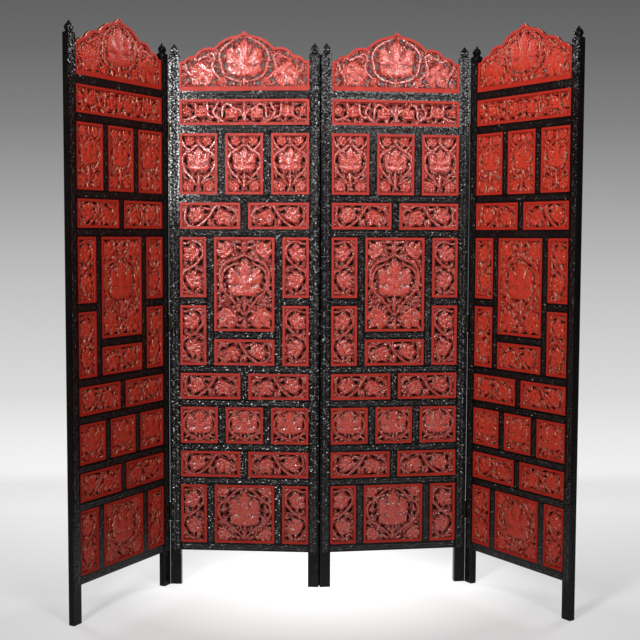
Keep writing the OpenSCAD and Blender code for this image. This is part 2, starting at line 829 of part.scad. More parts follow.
right_outer_muntins();
right_outer_crest();
right_outer_frieze();
right_outer_arch_panels();
right_outer_scroll_panels();
right_outer_side_panels();
right_outer_centre_panel();
right_outer_square_panels();
right_outer_base_panel();
right_outer_hinge_plates();
right_outer_hinge_screws();
left_fold_pins();
middle_fold_pins();
right_fold_pins();
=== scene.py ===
import json
import math
import random

import bmesh
import bpy
from bpy.props import FloatProperty, FloatVectorProperty, PointerProperty
from mathutils import Matrix, Vector
from mathutils.bvhtree import BVHTree
from mathutils.kdtree import KDTree


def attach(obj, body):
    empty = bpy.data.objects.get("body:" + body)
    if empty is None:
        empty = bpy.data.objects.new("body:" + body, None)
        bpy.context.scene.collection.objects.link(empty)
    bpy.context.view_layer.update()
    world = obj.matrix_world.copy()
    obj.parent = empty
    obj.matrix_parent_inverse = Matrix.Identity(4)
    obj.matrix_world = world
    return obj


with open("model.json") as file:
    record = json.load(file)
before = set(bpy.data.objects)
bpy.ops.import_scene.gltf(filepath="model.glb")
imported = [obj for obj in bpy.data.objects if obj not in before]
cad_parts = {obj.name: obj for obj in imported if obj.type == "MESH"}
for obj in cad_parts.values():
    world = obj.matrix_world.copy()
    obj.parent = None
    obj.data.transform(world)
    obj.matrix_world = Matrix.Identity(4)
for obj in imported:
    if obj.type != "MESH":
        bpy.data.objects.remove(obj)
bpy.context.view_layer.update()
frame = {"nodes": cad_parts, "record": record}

bl_info = {
    "name": "Lacquered folding screen",
    "version": (1, 0, 0),
    "blender": (4, 5, 0),
    "location": "3D View > Sidebar > Screen",
    "description": "Carving, lacquer, metalwork and studio of a four-leaf folding screen",
    "category": "Object",
}

MM = 0.001

# Half thicknesses of the parts of the construction, where the carving stands on them
FRET_FACE = 5.5 * MM
RIM_FACE = 9 * MM
RAIL_FACE = 8.5 * MM
STILE_FACE = 10 * MM


# ---------------------------------------------------------------- settings
class CarvingSettings(bpy.types.PropertyGroup):
    relief: FloatProperty(
        name="Relief", description="Height of the carving above the sawn fretwork",
        default=3.3 * MM, min=0.5 * MM, max=3.5 * MM, subtype="DISTANCE", unit="LENGTH")
    vine_width: FloatProperty(
        name="Vine width", description="Width of the carved vines",
        default=8.5 * MM, min=3 * MM, max=12 * MM, subtype="DISTANCE", unit="LENGTH")
    frame_relief: FloatProperty(
        name="Frame relief", description="Height of the carving on the black frame",
        default=1.0 * MM, min=0.3 * MM, max=1.4 * MM, subtype="DISTANCE", unit="LENGTH")
    frame_pitch: FloatProperty(
        name="Frame pitch", description="Distance from one carved leaf of the frame to the next",
        default=20 * MM, min=14 * MM, max=30 * MM, subtype="DISTANCE", unit="LENGTH")


class LacquerSettings(bpy.types.PropertyGroup):
    red: FloatVectorProperty(
        name="Red", description="Colour of the red lacquer on raised carving",
        default=(0.45, 0.034, 0.015), min=0, max=1, size=3, subtype="COLOR")
    # Deep red is a darker copy of the red: dimmed further, it is painted shade on the fretwork
    # between the carving; the rims and patches of uneven tone take it as their own colour
    deep_red: FloatVectorProperty(
        name="Deep red", description="Colour of the red lacquer between the carving",
        default=(0.30, 0.018, 0.010), min=0, max=1, size=3, subtype="COLOR")
    # The crevice colour is painted shade at the foot of the carving and in the chased veins; the
    # fretwork's random uneven tone also darkens towards it
    crevice_shade: FloatVectorProperty(
        name="Crevice", description="Colour of the red lacquer in the cuts of the carving",
        default=(0.06, 0.003, 0.002), min=0, max=1, size=3, subtype="COLOR")
    # Pale streaks, laid in patches on the walls of the openings and at the foot of the carving
    pale_streak: FloatVectorProperty(
        name="Bare wood", description="Colour of the wood where the walls of the openings show it",
        default=(0.78, 0.42, 0.28), min=0, max=1, size=3, subtype="COLOR")
    black: FloatVectorProperty(
        name="Black", description="Colour of the black lacquer",
        default=(0.0025, 0.002, 0.002), min=0, max=1, size=3, subtype="COLOR")
    brass: FloatVectorProperty(
        name="Brass", description="Colour of the hinge plates",
        default=(0.045, 0.033, 0.02), min=0, max=1, size=3, subtype="COLOR")
    steel: FloatVectorProperty(
        name="Steel", description="Colour of the screws",
        default=(0.30, 0.29, 0.28), min=0, max=1, size=3, subtype="COLOR")


class StudioSettings(bpy.types.PropertyGroup):
    floor: FloatVectorProperty(
        name="Floor", description="Colour of the floor",
        default=(0.5, 0.5, 0.5), min=0, max=1, size=3, subtype="COLOR")
    floor_glow: FloatProperty(
        name="Floor glow", description="How much of the floor's white shows without lamps",
        default=0.97, min=0, max=1, subtype="FACTOR")
    key_power: FloatProperty(
        name="Key light", description="Power of the high lamp on the left; the right one is weaker",
        default=6, min=0, subtype="POWER", unit="POWER")
    side_power: FloatProperty(
        name="Softbox", description="Power of the softbox on the left; the right one is weaker",
        default=54, min=0, subtype="POWER", unit="POWER")
    fill_power: FloatProperty(
        name="Fill light", description="Power of the lamp high over the screen",
        default=6, min=0, subtype="POWER", unit="POWER")
    back_power: FloatProperty(
        name="Back lights", description="Power of each of the two lamps behind the screen",
        default=30, min=0, subtype="POWER", unit="POWER")


# ---------------------------------------------------------------- where the leaves stand
# How the leaves differ: the sheen of the aged lacquer, how much of the brushed grain has to
# show before pale streaks do, and how bright the painted shade on the fretwork and in the cuts
# is beside their colours in the settings
LEAF_AGEING_AND_SHADE = {
    "inner": {"sheen": 0.85, "paler": 0.44, "ground": 0.45, "cut": 1.0},
    "outer": {"sheen": 0.2, "paler": 0.40, "ground": 0.7, "cut": 3.0},
}


class Leaf:
    """One leaf of the screen: where its left end stands and which way it runs"""

    def __init__(self, name):
        self.name = name
        self.body = name + "_leaf"
        feet = [Vector(m["pos_m"]) for m in frame["record"]["mounts"] if m["name"].startswith(name)]
        self.along = (feet[1] - feet[0]).normalized()
        self.back = Vector((-self.along.y, self.along.x, 0))
        stile = self.node("left_stile").data
        start = min((v.co - feet[0]).dot(self.along) for v in stile.vertices)
        at = feet[0] + self.along * start
        self.matrix = Matrix((
            (self.along.x, self.back.x, 0, at.x),
            (self.along.y, self.back.y, 0, at.y),
            (0, 0, 1, 0),
            (0, 0, 0, 1)))
        self.depth_at = at.dot(self.back)
        ageing_and_shade = LEAF_AGEING_AND_SHADE[name.split("_")[1]]
        self.sheen, self.paler = ageing_and_shade["sheen"], ageing_and_shade["paler"]
        self.ground, self.cut = ageing_and_shade["ground"], ageing_and_shade["cut"]

    def node(self, part):
        return frame["nodes"][f"{self.name}_{part}"]


LEAVES = [Leaf(name) for name in ("left_outer", "left_inner", "right_inner", "right_outer")]
PATTERN = LEAVES[1]     # all four leaves are alike, so the carving is laid out on this one


def slabs(part, face):
    """The solids of a node as (left, right, bottom, top) in the plane of the leaf, at their face"""
    bm = bmesh.new()
    bm.from_mesh(PATTERN.node(part).data)
    bmesh.ops.transform(bm, matrix=PATTERN.matrix.inverted(), verts=bm.verts)
    bmesh.ops.remove_doubles(bm, verts=bm.verts, dist=0.01 * MM)
    waiting = set(bm.verts)
    found = []
    while waiting:
        first = waiting.pop()
        solid, edge = [first], [first]
        while edge:
            near = {e.other_vert(v) for v in edge for e in v.link_edges} & waiting
            waiting -= near
            edge = list(near)
            solid += edge
        rim = [v.co for v in solid if abs(v.co.y) > face - 0.1 * MM]
        found.append((min(c.x for c in rim), max(c.x for c in rim),
                      min(c.z for c in rim), max(c.z for c in rim)))
    bm.free()
    return sorted(found, key=lambda s: (round(s[2], 3), s[0]))


PATTERN_MIDDLE = sum(s[0] + s[1] for s in slabs("crest", RIM_FACE)) / 2


# ---------------------------------------------------------------- carved forms
# A carving is drawn flat, in millimetres: x to the right, y up, and z out of the wood.
def add_copy(bm, form, matrix):
    """Adds a copy of a mesh to bm, placed by matrix"""
    copy = form.copy()
    copy.transform(matrix)
    if matrix.determinant() < 0:
        copy.flip_normals()
    bm.from_mesh(copy)
    bpy.data.meshes.remove(copy)


def as_mesh(bm, name):
    mesh = bpy.data.meshes.new(name)
    bm.to_mesh(mesh)
    bm.free()
    return mesh


def closed_line(bm, points):
    """New edges from each vertex to the next and back to the first"""
    return [bm.edges.new((a, b)) for a, b in zip(points, points[1:] + points[:1])]


def extruded(bm, edges):
    """Extrudes edges on the spot, and gives the new edges and the new vertices"""
    made = bmesh.ops.extrude_edge_only(bm, edges=edges)["geom"]
    return ([g for g in made if isinstance(g, bmesh.types.BMEdge)],
            [g for g in made if isinstance(g, bmesh.types.BMVert)])


def turned(at, size, angle):
    """Places a unit form: its middle at a point, its half width as size, turned by angle"""
    wide, tall = size if isinstance(size, tuple) else (size, size)
    return (Matrix.Translation((at[0], at[1], 0)) @ Matrix.Rotation(math.radians(angle), 4, "Z")
            @ Matrix.Diagonal((wide, tall, 1, 1)))


# The right half of a chinar leaf, from its tip to its stem: x, y and how high the wood stands
# there, where half the width is 1. High and low points take turns, which flutes the lobes.
CHINAR = [
    (0, 1.52, 0.8), (0.08, 1.38, 0.6), (0.18, 1.28, 0.8), (0.25, 1.13, 0.65), (0.38, 1.08, 0.8),
    (0.42, 0.93, 0.6), (0.50, 0.88, 0.55), (0.60, 0.93, 0.6), (0.74, 1.00, 0.8),
    (0.86, 0.93, 0.65), (1.00, 0.86, 0.85), (0.95, 0.70, 0.65), (1.02, 0.53, 0.85),
    (0.95, 0.36, 0.65), (1.00, 0.18, 0.8), (0.91, 0.02, 0.55), (0.99, -0.12, 0.8),
    (0.93, -0.26, 0.65), (0.92, -0.42, 0.85), (0.76, -0.46, 0.65), (0.62, -0.57, 0.85),
    (0.46, -0.54, 0.6), (0.32, -0.63, 0.85), (0.17, -0.56, 0.6), (0.08, -0.62, 0.7)]
HEART = (0, -0.06)
ROOT = -0.4     # millimetres that the carving reaches into the wood behind it
# Each step towards the heart: share of the way left, height and how much of the flutes shows there
LEAF_STEPS = [
    (0.96, 0.7, 1.0), (0.88, 0.88, 0.85), (0.76, 1.0, 0.5), (0.63, 1.0, 0.35), (0.48, 0.9, 0.3),
    (0.25, 0.86, 0.2)]
# The eyes between the lobes, two on each half: middle, half length, half width and turn in degrees
LEAF_EYES = [(0.36, 0.66, 0.27, 0.14, 72), (0.54, 0.0, 0.25, 0.13, 4)]
EYE_DEPTH = 0.95        # share of the height that is cut away in the middle of an eye


def eye_depth(x, y):
    """How far the eyes sink a point of the leaf, from 0 to 1"""
    depth = 0
    for ex, ey, half, narrow, turn in LEAF_EYES:
        away = Matrix.Rotation(-math.radians(turn), 2) @ Vector((abs(x) - ex, y - ey))
        depth = max(depth, math.exp(-((away.x / half) ** 2 + (away.y / narrow) ** 2)))
    return depth


def chinar_leaf(relief):
    """A chinar leaf with fluted lobes, half its width 1 and its relief in millimetres"""
    bm = bmesh.new()
    lift = bm.verts.layers.float.new("lift")
    outline = CHINAR + [(-x, y, h) for x, y, h in reversed(CHINAR) if x > 0]
    for x, y, h in outline:
        vert = bm.verts.new((x, y, ROOT))
        vert[lift] = h
    edges = closed_line(bm, list(bm.verts))
    bmesh.ops.contextual_create(bm, geom=edges)
    past = 1.0
    heart = Matrix.Translation((HEART[0], HEART[1], 0))
    for share, height, flutes in LEAF_STEPS:
        edges, verts = extruded(bm, edges)
        bmesh.ops.scale(bm, vec=(share / past, share / past, 1), verts=verts,
                        space=heart.inverted())
        past = share
        for v in verts:
            flute = 1 - (1 - v[lift]) * flutes
            v.co.z = relief * height * flute * (1 - EYE_DEPTH * eye_depth(v.co.x, v.co.y))
    middle = bmesh.ops.contextual_create(bm, geom=edges)["faces"]
    peak = bmesh.ops.poke(bm, faces=middle)["verts"]
    for v in peak:
        v.co.z = relief
    bmesh.ops.recalc_face_normals(bm, faces=bm.faces)
    return as_mesh(bm, "chinar_leaf")


# Sections of a vine, with two ridges and a groove between them, and of a blade: x and height
VINE_SECTION = [
    (-0.5, 0), (-0.44, 0.7), (-0.24, 1.0), (0, 0.62), (0.24, 1.0), (0.44, 0.7), (0.5, 0)]
BLADE_SECTION = [(-0.5, 0), (-0.3, 0.62), (0, 1.0), (0.3, 0.62), (0.5, 0)]
# Their height as a share of the relief, the width of their ends as a share of the middle, and the
# steps from one point to the next
VINE_HEIGHT, VINE_ENDS, VINE_STEPS = 0.66, 0.7, 3
BLADE_HEIGHT, BLADE_ENDS, BLADE_STEPS = 0.75, 0.12, 2
SWELL = 0.6     # below 1, a strand is full over most of its length


def strands(paths, section, width, height, ends, steps):
    """Vines or blades along paths, each a pair of points and a width. One that is as wide as width
    stands as high as height, and each is as wide at its ends as the share ends of its middle."""
    profile = bpy.data.curves.new("section", "CURVE")
    profile.dimensions = "2D"
    line = profile.splines.new("POLY")
    closed = [(section[0][0], ROOT / height)] + section + [(section[-1][0], ROOT / height)]
    line.points.add(len(closed) - 1)
    line.use_cyclic_u = True
    for point, (x, y) in zip(line.points, closed):
        point.co = (x, y * height / width, 0, 1)
    bevel = bpy.data.objects.new("section", profile)
    bpy.context.collection.objects.link(bevel)
    curve = bpy.data.curves.new("strands", "CURVE")
    curve.dimensions = "2D"
    curve.fill_mode = "NONE"
    curve.bevel_mode = "OBJECT"
    curve.bevel_object = bevel
    curve.use_fill_caps = True
    curve.resolution_u = steps
    for path, size in paths:
        spline = curve.splines.new("BEZIER")
        spline.bezier_points.add(len(path) - 1)
        last = len(path) - 1
        for i, (point, place) in enumerate(zip(spline.bezier_points, path)):
            point.co = (place[0], place[1], 0)
            point.handle_left_type = point.handle_right_type = "AUTO"
            full = max(0, math.sin(math.pi * i / last)) ** SWELL
            point.radius = size * (ends + (1 - ends) * full)
    made = bpy.data.objects.new("strands", curve)
    bpy.context.collection.objects.link(made)
    bpy.context.view_layer.update()
    seen = bpy.context.evaluated_depsgraph_get()
    mesh = bpy.data.meshes.new_from_object(made.evaluated_get(seen))
    bpy.data.objects.remove(made)
    bpy.data.objects.remove(bevel)
    bm = bmesh.new()
    bm.from_mesh(mesh)
    bpy.data.meshes.remove(mesh)
    bmesh.ops.remove_doubles(bm, verts=bm.verts, dist=0.01)
    bmesh.ops.recalc_face_normals(bm, faces=bm.faces)
    return as_mesh(bm, "strands")


# ---------------------------------------------------------------- designs of the panels
# Each design is drawn in millimetres about the middle of a panel of the size given, and the crest
# about the middle of its foot: chinar leaves as (place of the heart, half width, turn of the tip
# from upright), vines as points and blades as (points, width). "Twice" holds the right-hand half
# of what stands on both sides.
DESIGNS = {
    "scroll": {
        "size": (198, 87),
        "leaves": [((-42, -2), 25, 37), ((44, 0.5), 25, 153)],
        "vines": [
            [(-80, 36), (-82, 8), (-83, -10), (-76, -25), (-64, -35), (-46, -36), (-31, -27),
             (-16, -14), (0, 3), (9, 20), (20, 33), (40, 36), (60, 28), (79, 18), (88, 2),
             (91, -16), (90, -34)]],
        "blades": [
            ([(3, 13), (-10, 23), (-32, 27)], 10), ([(-82, 8), (-90, 18), (-92, 34)], 8),
            ([(-84, -8), (-92, -20), (-90, -34)], 8), ([(-8, -6), (-2, -20), (2, -36)], 11),
            ([(0, -12), (10, -26), (12, -36)], 9), ([(60, 28), (70, 30), (88, 35)], 9),
            ([(88, 2), (76, -8), (62, -14)], 10), ([(90, -12), (80, -18), (72, -36)], 9),
            ([(-30, 27), (-34, 22), (-38, 26)], 7), ([(-64, -35), (-72, -34), (-84, -36)], 7),
            ([(62, -16), (60, -26), (58, -36)], 8)],
    },
    "side": {
        "size": (86, 200),
        "leaves": [((-1, 44), 26, 58), ((-5, -45), 26, -64)],
        "vines": [
            [(-38, 80), (-18, 80), (0, 87), (16, 83), (28, 70), (32, 56), (30, 38), (21, 26),
             (10, 12), (-6, 0), (-20, -8), (-32, -16), (-37, -32), (-36, -50), (-28, -64),
             (-20, -76), (-8, -86), (6, -91)]],
        "blades": [
            ([(10, 84), (24, 88), (36, 84)], 9), ([(30, 74), (34, 66), (36, 50)], 8),
            ([(-6, 4), (-20, 4), (-28, -6)], 9), ([(20, 4), (28, -2), (36, -14)], 10),
            ([(-6, -14), (4, -16), (12, -12)], 9), ([(6, -92), (10, -80), (18, -70), (34, -70)], 9),
            ([(34, -28), (36, -44), (34, -60)], 8), ([(-30, -60), (-36, -72), (-38, -88)], 8),
            ([(-18, -80), (-26, -84), (-36, -80)], 9), ([(16, -60), (26, -60), (34, -56)], 8),
            ([(10, 30), (24, 26), (34, 36)], 7), ([(0, 2), (10, 2), (24, 2)], 8),
            ([(8, -88), (18, -92), (34, -91)], 7)],
    },
    "square": {
        "size": (123, 122),
        "leaves": [((0, -5), (43, 38), 0)],
        "blades": [([(0, -28), (0, -44), (0, -60)], 10)],
        "twice": {
            "vines": [
                [(0, -56), (16, -40), (32, -34), (46, -20), (52, 0), (50, 16), (42, 28), (32, 42),
                 (20, 51), (4, 58)]],
            "blades": [
                ([(30, 50), (38, 46), (46, 44), (56, 46)], 10), ([(48, 44), (54, 34), (55, 22)], 8),
                ([(50, -18), (55, -24), (57, -34)], 9), ([(30, -34), (38, -38), (54, -48)], 9),
                ([(8, -50), (16, -56), (30, -57)], 8), ([(14, -38), (22, -44), (30, -54)], 8),
                ([(32, 44), (34, 52), (33, 60)], 8), ([(38, -50), (46, -54), (56, -55)], 8)],
        },
    },
    "base": {
        "size": (198, 197),
        "leaves": [((0, -5), (49, 58), 0)],
        "blades": [([(0, -42), (0, -66), (0, -94)], 12)],
        "twice": {
            "leaves": [((70, 73), 20, -42), ((66, -66), 22, -140)],
            "vines": [
                [(0, 90), (22, 81), (40, 68), (52, 54), (66, 43), (80, 33), (87, 18), (87, 2),
                 (80, -14), (68, -28), (50, -41), (32, -54), (16, -68), (2, -88)]],
            "blades": [
                ([(52, 54), (64, 60), (80, 64)], 9), ([(64, 10), (70, 22), (66, 34)], 10),
                ([(62, 12), (70, 10), (82, 14)], 8), ([(66, -8), (62, -20), (66, -28)], 10),
                ([(68, -26), (78, -34), (92, -28)], 8), ([(36, -50), (40, -62), (36, -72)], 9),
                ([(20, -64), (14, -52), (12, -44)], 7), ([(28, -74), (24, -80), (12, -90)], 10),
                ([(30, 78), (24, 86), (44, 88)], 8), ([(34, -78), (48, -78), (54, -84)], 9),
                ([(46, 60), (40, 58), (26, 64)], 7), ([(50, 34), (50, 22), (54, 12)], 7),
                ([(86, 56), (91, 44), (91, 30)], 7)],
        },
    },
    "centre": {
        "size": (198, 312),
        "leaves": [((0, -3), (55, 59), 0)],
        "blades": [
            ([(0, -40), (0, -70), (0, -110)], 12), ([(0, 88), (0, 116), (0, 152)], 12),
            ([(0, -112), (0, -130), (0, -152)], 16)],
        "twice": {
            "leaves": [((61, 108), 27, -40), ((52, -106), 34, -140)],
            "vines": [
                [(0, 98), (22, 88), (44, 79), (62, 72), (72, 60), (79, 44), (81, 28), (80, 8),
                 (79, -12), (77, -30)],
                [(24, 73), (44, 62), (58, 54), (68, 42), (73, 26), (75, 8), (73, -10), (64, -27),
                 (48, -42), (34, -58), (18, -80), (2, -106)]],
            "blades": [
                ([(2, 108), (16, 122), (34, 126)], 10), ([(2, 134), (16, 142), (34, 146)], 9),
                ([(30, 98), (31, 120), (36, 148)], 8), ([(24, 92), (34, 98), (44, 92)], 9),
                ([(76, 2), (86, -2), (97, 2)], 9), ([(78, -26), (86, -30), (94, -40)], 9),
                ([(50, -50), (66, -56), (92, -50)], 9), ([(52, -58), (54, -68), (60, -76)], 8),
                ([(22, -72), (32, -74), (50, -76)], 8), ([(70, -68), (80, -72), (94, -76)], 9),
                ([(20, -84), (30, -92), (34, -104)], 9), ([(6, -114), (14, -120), (30, -122)], 8),
                ([(4, -136), (14, -136), (30, -134)], 9), ([(72, 78), (82, 78), (94, 72)], 9),
                ([(84, 60), (92, 48), (93, 34)], 8), ([(8, -66), (20, -56), (26, -44)], 7),
                ([(66, 86), (72, 92), (76, 84)], 8), ([(82, 38), (90, 34), (94, 26)], 7)],
        },
    },
    "arch": {
        "size": (123, 200),
        "leaves": [((0, 0), (37, 37), 0)],
        "blades": [([(0, -20), (0, -52), (0, -94)], 13), ([(0, 58), (0, 74), (0, 95)], 12)],
        "twice": {
            "leaves": [((31, -70), 17, -138), ((30, 72), 15, 40)],
            "vines": [
                [(0, 60), (12, 60), (24, 46), (40, 38), (50, 28), (54, 6), (48, -14), (36, -32),
                 (22, -46), (8, -66)],
                [(8, 60), (22, 47), (34, 48), (42, 56), (50, 66), (56, 84)]],
            "blades": [
                ([(0, -66), (14, -62), (30, -52), (56, -40)], 8),
                ([(46, -20), (54, -28), (58, -40)], 8), ([(44, 40), (50, 48), (57, 50)], 8),
                ([(20, 80), (24, 84), (34, 84)], 8), ([(50, -54), (56, -70), (54, -92)], 8),
                ([(16, -68), (20, -82), (18, -94)], 7)],
        },
    },
    "frieze": {
        "size": (424, 84),
        "blades": [([(0, -38), (0, 0), (0, 38)], 11)],
        "twice": {
            "leaves": [((41, -8), (21, 20), 0), ((142, -3), (21, 19), 0), ((187, 3), 13, -70)],
            "vines": [
                [(0, -36), (5, -8), (16, 7), (30, 12), (40, 17), (48, 25), (62, 24), (71, 10),
                 (72, -10), (80, -32)],
                [(58, -38), (80, -24), (95, -12), (100, 4), (92, 18), (84, 34)],
                [(122, 34), (120, 8), (116, -10), (104, -16), (96, -14)],
                [(160, 34), (158, 8), (158, -8), (172, -20), (206, -25)]],
            "blades": [
                ([(26, 26), (34, 30), (44, 30)], 7), ([(60, 28), (70, 32), (80, 36)], 8),
                ([(24, -16), (28, -24), (30, -36)], 7), ([(96, 14), (104, 20), (120, 22)], 8),
                ([(134, -18), (134, -26), (138, -36)], 8), ([(172, 2), (178, 10), (196, 18)], 7),
                ([(176, -8), (186, -12), (200, -10)], 6), ([(80, -14), (84, -20), (84, -36)], 6),
                ([(198, 20), (196, 28), (190, 34)], 7)],
        },
    },
    "crest": {
        "size": (424, 194),
        "leaves": [((0, 84), (59, 58), 0)],
        "blades": [([(0, 52), (0, 34), (0, 10)], 14)],
        "twice": {
            "leaves": [((131, 62), 39, -145), ((78, 32), (15, 12), 100)],
            "vines": [
                [(0, 180), (34, 163), (62, 145), (77, 126), (80, 106), (75, 84), (71, 66), (60, 49),
                 (40, 38), (18, 32), (0, 28)],
                [(54, 14), (64, 34), (84, 46), (98, 62), (104, 82), (97, 102), (100, 118),
                 (114, 120), (124, 106)],
                [(100, 98), (116, 110), (134, 110), (150, 100), (166, 106), (180, 104)],
                [(168, 14), (170, 40), (182, 62), (192, 84), (196, 100)]],
            "blades": [
                ([(40, 156), (54, 164), (84, 142)], 7), ([(78, 128), (90, 126), (100, 130)], 9),
                ([(80, 96), (88, 98), (96, 106)], 7), ([(76, 80), (84, 76), (94, 80)], 7),
                ([(112, 110), (110, 98), (112, 88)], 8), ([(174, 60), (172, 78), (174, 96)], 10),
                ([(184, 58), (194, 54), (206, 56)], 9), ([(182, 40), (188, 28), (206, 16)], 9),
                ([(32, 34), (34, 24), (32, 12)], 9), ([(10, 30), (12, 20), (10, 10)], 7),
                ([(88, 20), (100, 26), (120, 28)], 9), ([(66, 24), (64, 16), (90, 14)], 8),
                ([(194, 80), (202, 72), (206, 66)], 7), ([(12, 176), (26, 172), (40, 166)], 7),
                ([(138, 108), (144, 118), (134, 124)], 7), ([(88, 118), (96, 114), (98, 104)], 7)],
        },
    },
}


def mirrored(path):
    return [(-x, y) for x, y in path]


def carved(kind, settings):
    """The carving of one design as a mesh in millimetres"""
    design = DESIGNS[kind]
    twice = design.get("twice", {})
    relief = settings.relief / MM
    bm = bmesh.new()
    leaf = chinar_leaf(relief)
    flip = Matrix.Diagonal((-1, 1, 1, 1))
    for at, size, angle in design.get("leaves", []):
        add_copy(bm, leaf, turned(at, size, angle))
    for at, size, angle in twice.get("leaves", []):
        place = turned(at, size, angle)
        add_copy(bm, leaf, place)
        add_copy(bm, leaf, flip @ place)
    bpy.data.meshes.remove(leaf)
    width = settings.vine_width / MM
    pairs = twice.get("vines", [])
    vines = [(v, width) for v in design.get("vines", []) + pairs + [mirrored(v) for v in pairs]]
    pairs = twice.get("blades", [])
    blades = design["blades"] + pairs + [(mirrored(p), w) for p, w in pairs]
    for made in (
            strands(vines, VINE_SECTION, width, VINE_HEIGHT * relief, VINE_ENDS, VINE_STEPS),
            strands(blades, BLADE_SECTION, width, BLADE_HEIGHT * relief, BLADE_ENDS, BLADE_STEPS)):
        bm.from_mesh(made)
        bpy.data.meshes.remove(made)
    for vert in bm.verts:
        vert.co.z = max(ROOT, min(vert.co.z, relief))
    return as_mesh(bm, kind)


SMALL_LEAF = [(0, 0), (0.32, 0.3), (0.28, 0.65), (0, 1.05), (-0.28, 0.65), (-0.32, 0.3)]
SMALL_LEAF_EDGE = 0.2   # how high its edge stands, as a share of its ridge


def small_leaf(bm, place, height):
    """Adds a small ridged leaf, its foot at the place's middle and its length 1"""
    ring = [bm.verts.new(place @ Vector((x, y, ROOT))) for x, y in SMALL_LEAF]
    edges = closed_line(bm, ring)
    bmesh.ops.contextual_create(bm, geom=edges)
    edges, verts = extruded(bm, edges)
    for v in verts:
        v.co.z = SMALL_LEAF_EDGE * height
    lid = bmesh.ops.contextual_create(bm, geom=edges)["faces"]
    for v in bmesh.ops.poke(bm, faces=lid)["verts"]:
        v.co.z = height


# Small leaves between the carving, in millimetres: from one place that is tried to the next, their
# length, the least distance between two, from the middle of one to the carving and to an opening
FILL_PITCH = 6.5
FILL_LENGTH = 11.0
FILL_APART = 6.2
FILL_OFF_CARVING = 2.2
FILL_OFF_OPENING = 2.4
FILL_PLACE = (0.2, 0.8)     # where a leaf may stand within its pitch
FILL_TURN = 35              # degrees that it may turn either way
FILL_HEIGHT = 0.8           # share of the relief
FILL_UNEVEN = (0.8, 1.1)    # shares of that height, from leaf to leaf
RAISED = 0.2                # millimetres from which wood counts as carving


def zero_height(kind, slab):
    """The height where a design's own zero lies: the foot of the crest, the middle of a panel"""
    return slab[2] if kind == "crest" else (slab[2] + slab[3]) / 2


def fill_ground(form, part, kind, slab, relief):
    """Grows small leaves out of a carving, wherever the fretwork would still lie bare"""
    left, right, bottom, top = slab
    wide, tall = DESIGNS[kind]["size"]
    foot = zero_height(kind, slab)
    start = 0 if kind == "crest" else -tall / 2
    wood = bmesh.new()
    wood.from_mesh(PATTERN.node(part).data)
    bmesh.ops.transform(wood, matrix=PATTERN.matrix.inverted(), verts=wood.verts)
    seen = BVHTree.FromBMesh(wood)
    wood.free()

    def showing(x, y):
        at = Vector(((left + right) / 2 + x * (right - left) / wide, -0.1,
                     foot + y * (top - bottom) / tall))
        hit = seen.ray_cast(at, Vector((0, 1, 0)))[0]
        return hit is not None and abs(hit.y + FRET_FACE) < 0.2 * MM

    raised = [v.co for v in form.vertices if v.co.z > RAISED]
    carving = KDTree(len(raised))
    for i, co in enumerate(raised):
        carving.insert((co.x, co.y, 0), i)
    carving.balance()
    spots = random.Random(7)
    bm = bmesh.new()
    bm.from_mesh(form)
    grown = []
    for row in range(int(tall / FILL_PITCH)):
        for column in range(int(wide / FILL_PITCH)):
            x = -wide / 2 + (column + spots.uniform(*FILL_PLACE)) * FILL_PITCH
            y = start + (row + spots.uniform(*FILL_PLACE)) * FILL_PITCH
            near, _, away = carving.find((x, y, 0))
            out = Vector((x, y, 0)) - near
            here = Vector((x, y))
            if away < FILL_OFF_CARVING or any((here - g).length < FILL_APART for g in grown):
                continue
            if not all(showing(x + dx * FILL_OFF_OPENING, y + dy * FILL_OFF_OPENING)
                       for dx, dy in ((0, 0), (1, 0), (-1, 0), (0, 1), (0, -1))):
                continue
            grown.append(here)
            turn = math.degrees(math.atan2(out.y, out.x)) - 90
            turn += spots.uniform(-FILL_TURN, FILL_TURN)
            place = turned(here, FILL_LENGTH, turn) @ Matrix.Translation((0, -0.5, 0))
            small_leaf(bm, place, FILL_HEIGHT * relief / MM * spots.uniform(*FILL_UNEVEN))
    bmesh.ops.recalc_face_normals(bm, faces=bm.faces)
    bm.to_mesh(form)
    bm.free()


# ---------------------------------------------------------------- pieces
def layout(bm, form, kind, slab, mirror):
    """Sets a design on both faces of a panel, in the frame of the leaf"""
    left, right, bottom, top = slab
    drawn = DESIGNS[kind]["size"]
    wide, tall = (right - left) / drawn[0], (top - bottom) / drawn[1]
    foot = zero_height(kind, slab)
    for side in (-1, 1):
        turn = -side * (-1 if mirror else 1)
        place = Matrix((
            (turn * wide, 0, 0, (left + right) / 2),
            (0, 0, side * MM, side * FRET_FACE),
            (0, tall, 0, foot),
            (0, 0, 0, 1)))
        add_copy(bm, form, place)


def dressed(part, mesh, material_of):
    """Copies a piece, laid out in the frame of a leaf, to all four leaves"""
    for leaf in LEAVES:
        own = mesh.copy()
        own.name = f"{leaf.name}_{part}"
        own.transform(leaf.matrix)
        own.materials.clear()
        own.materials.append(material_of(leaf))
        piece = bpy.data.objects.new(f"{leaf.name}_{part}", own)
        bpy.context.collection.objects.link(piece)
        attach(piece, leaf.body)
    bpy.data.meshes.remove(mesh)


def refinish(node, material):
    node.data.materials.clear()
    node.data.materials.append(material)


def coat(part, material_of):
    """Gives a node of every leaf its finish"""
    for leaf in LEAVES:
        refinish(leaf.node(part), material_of(leaf))


ONE_SIDED = ("scroll", "side")      # designs that are mirrored on the right half of a leaf


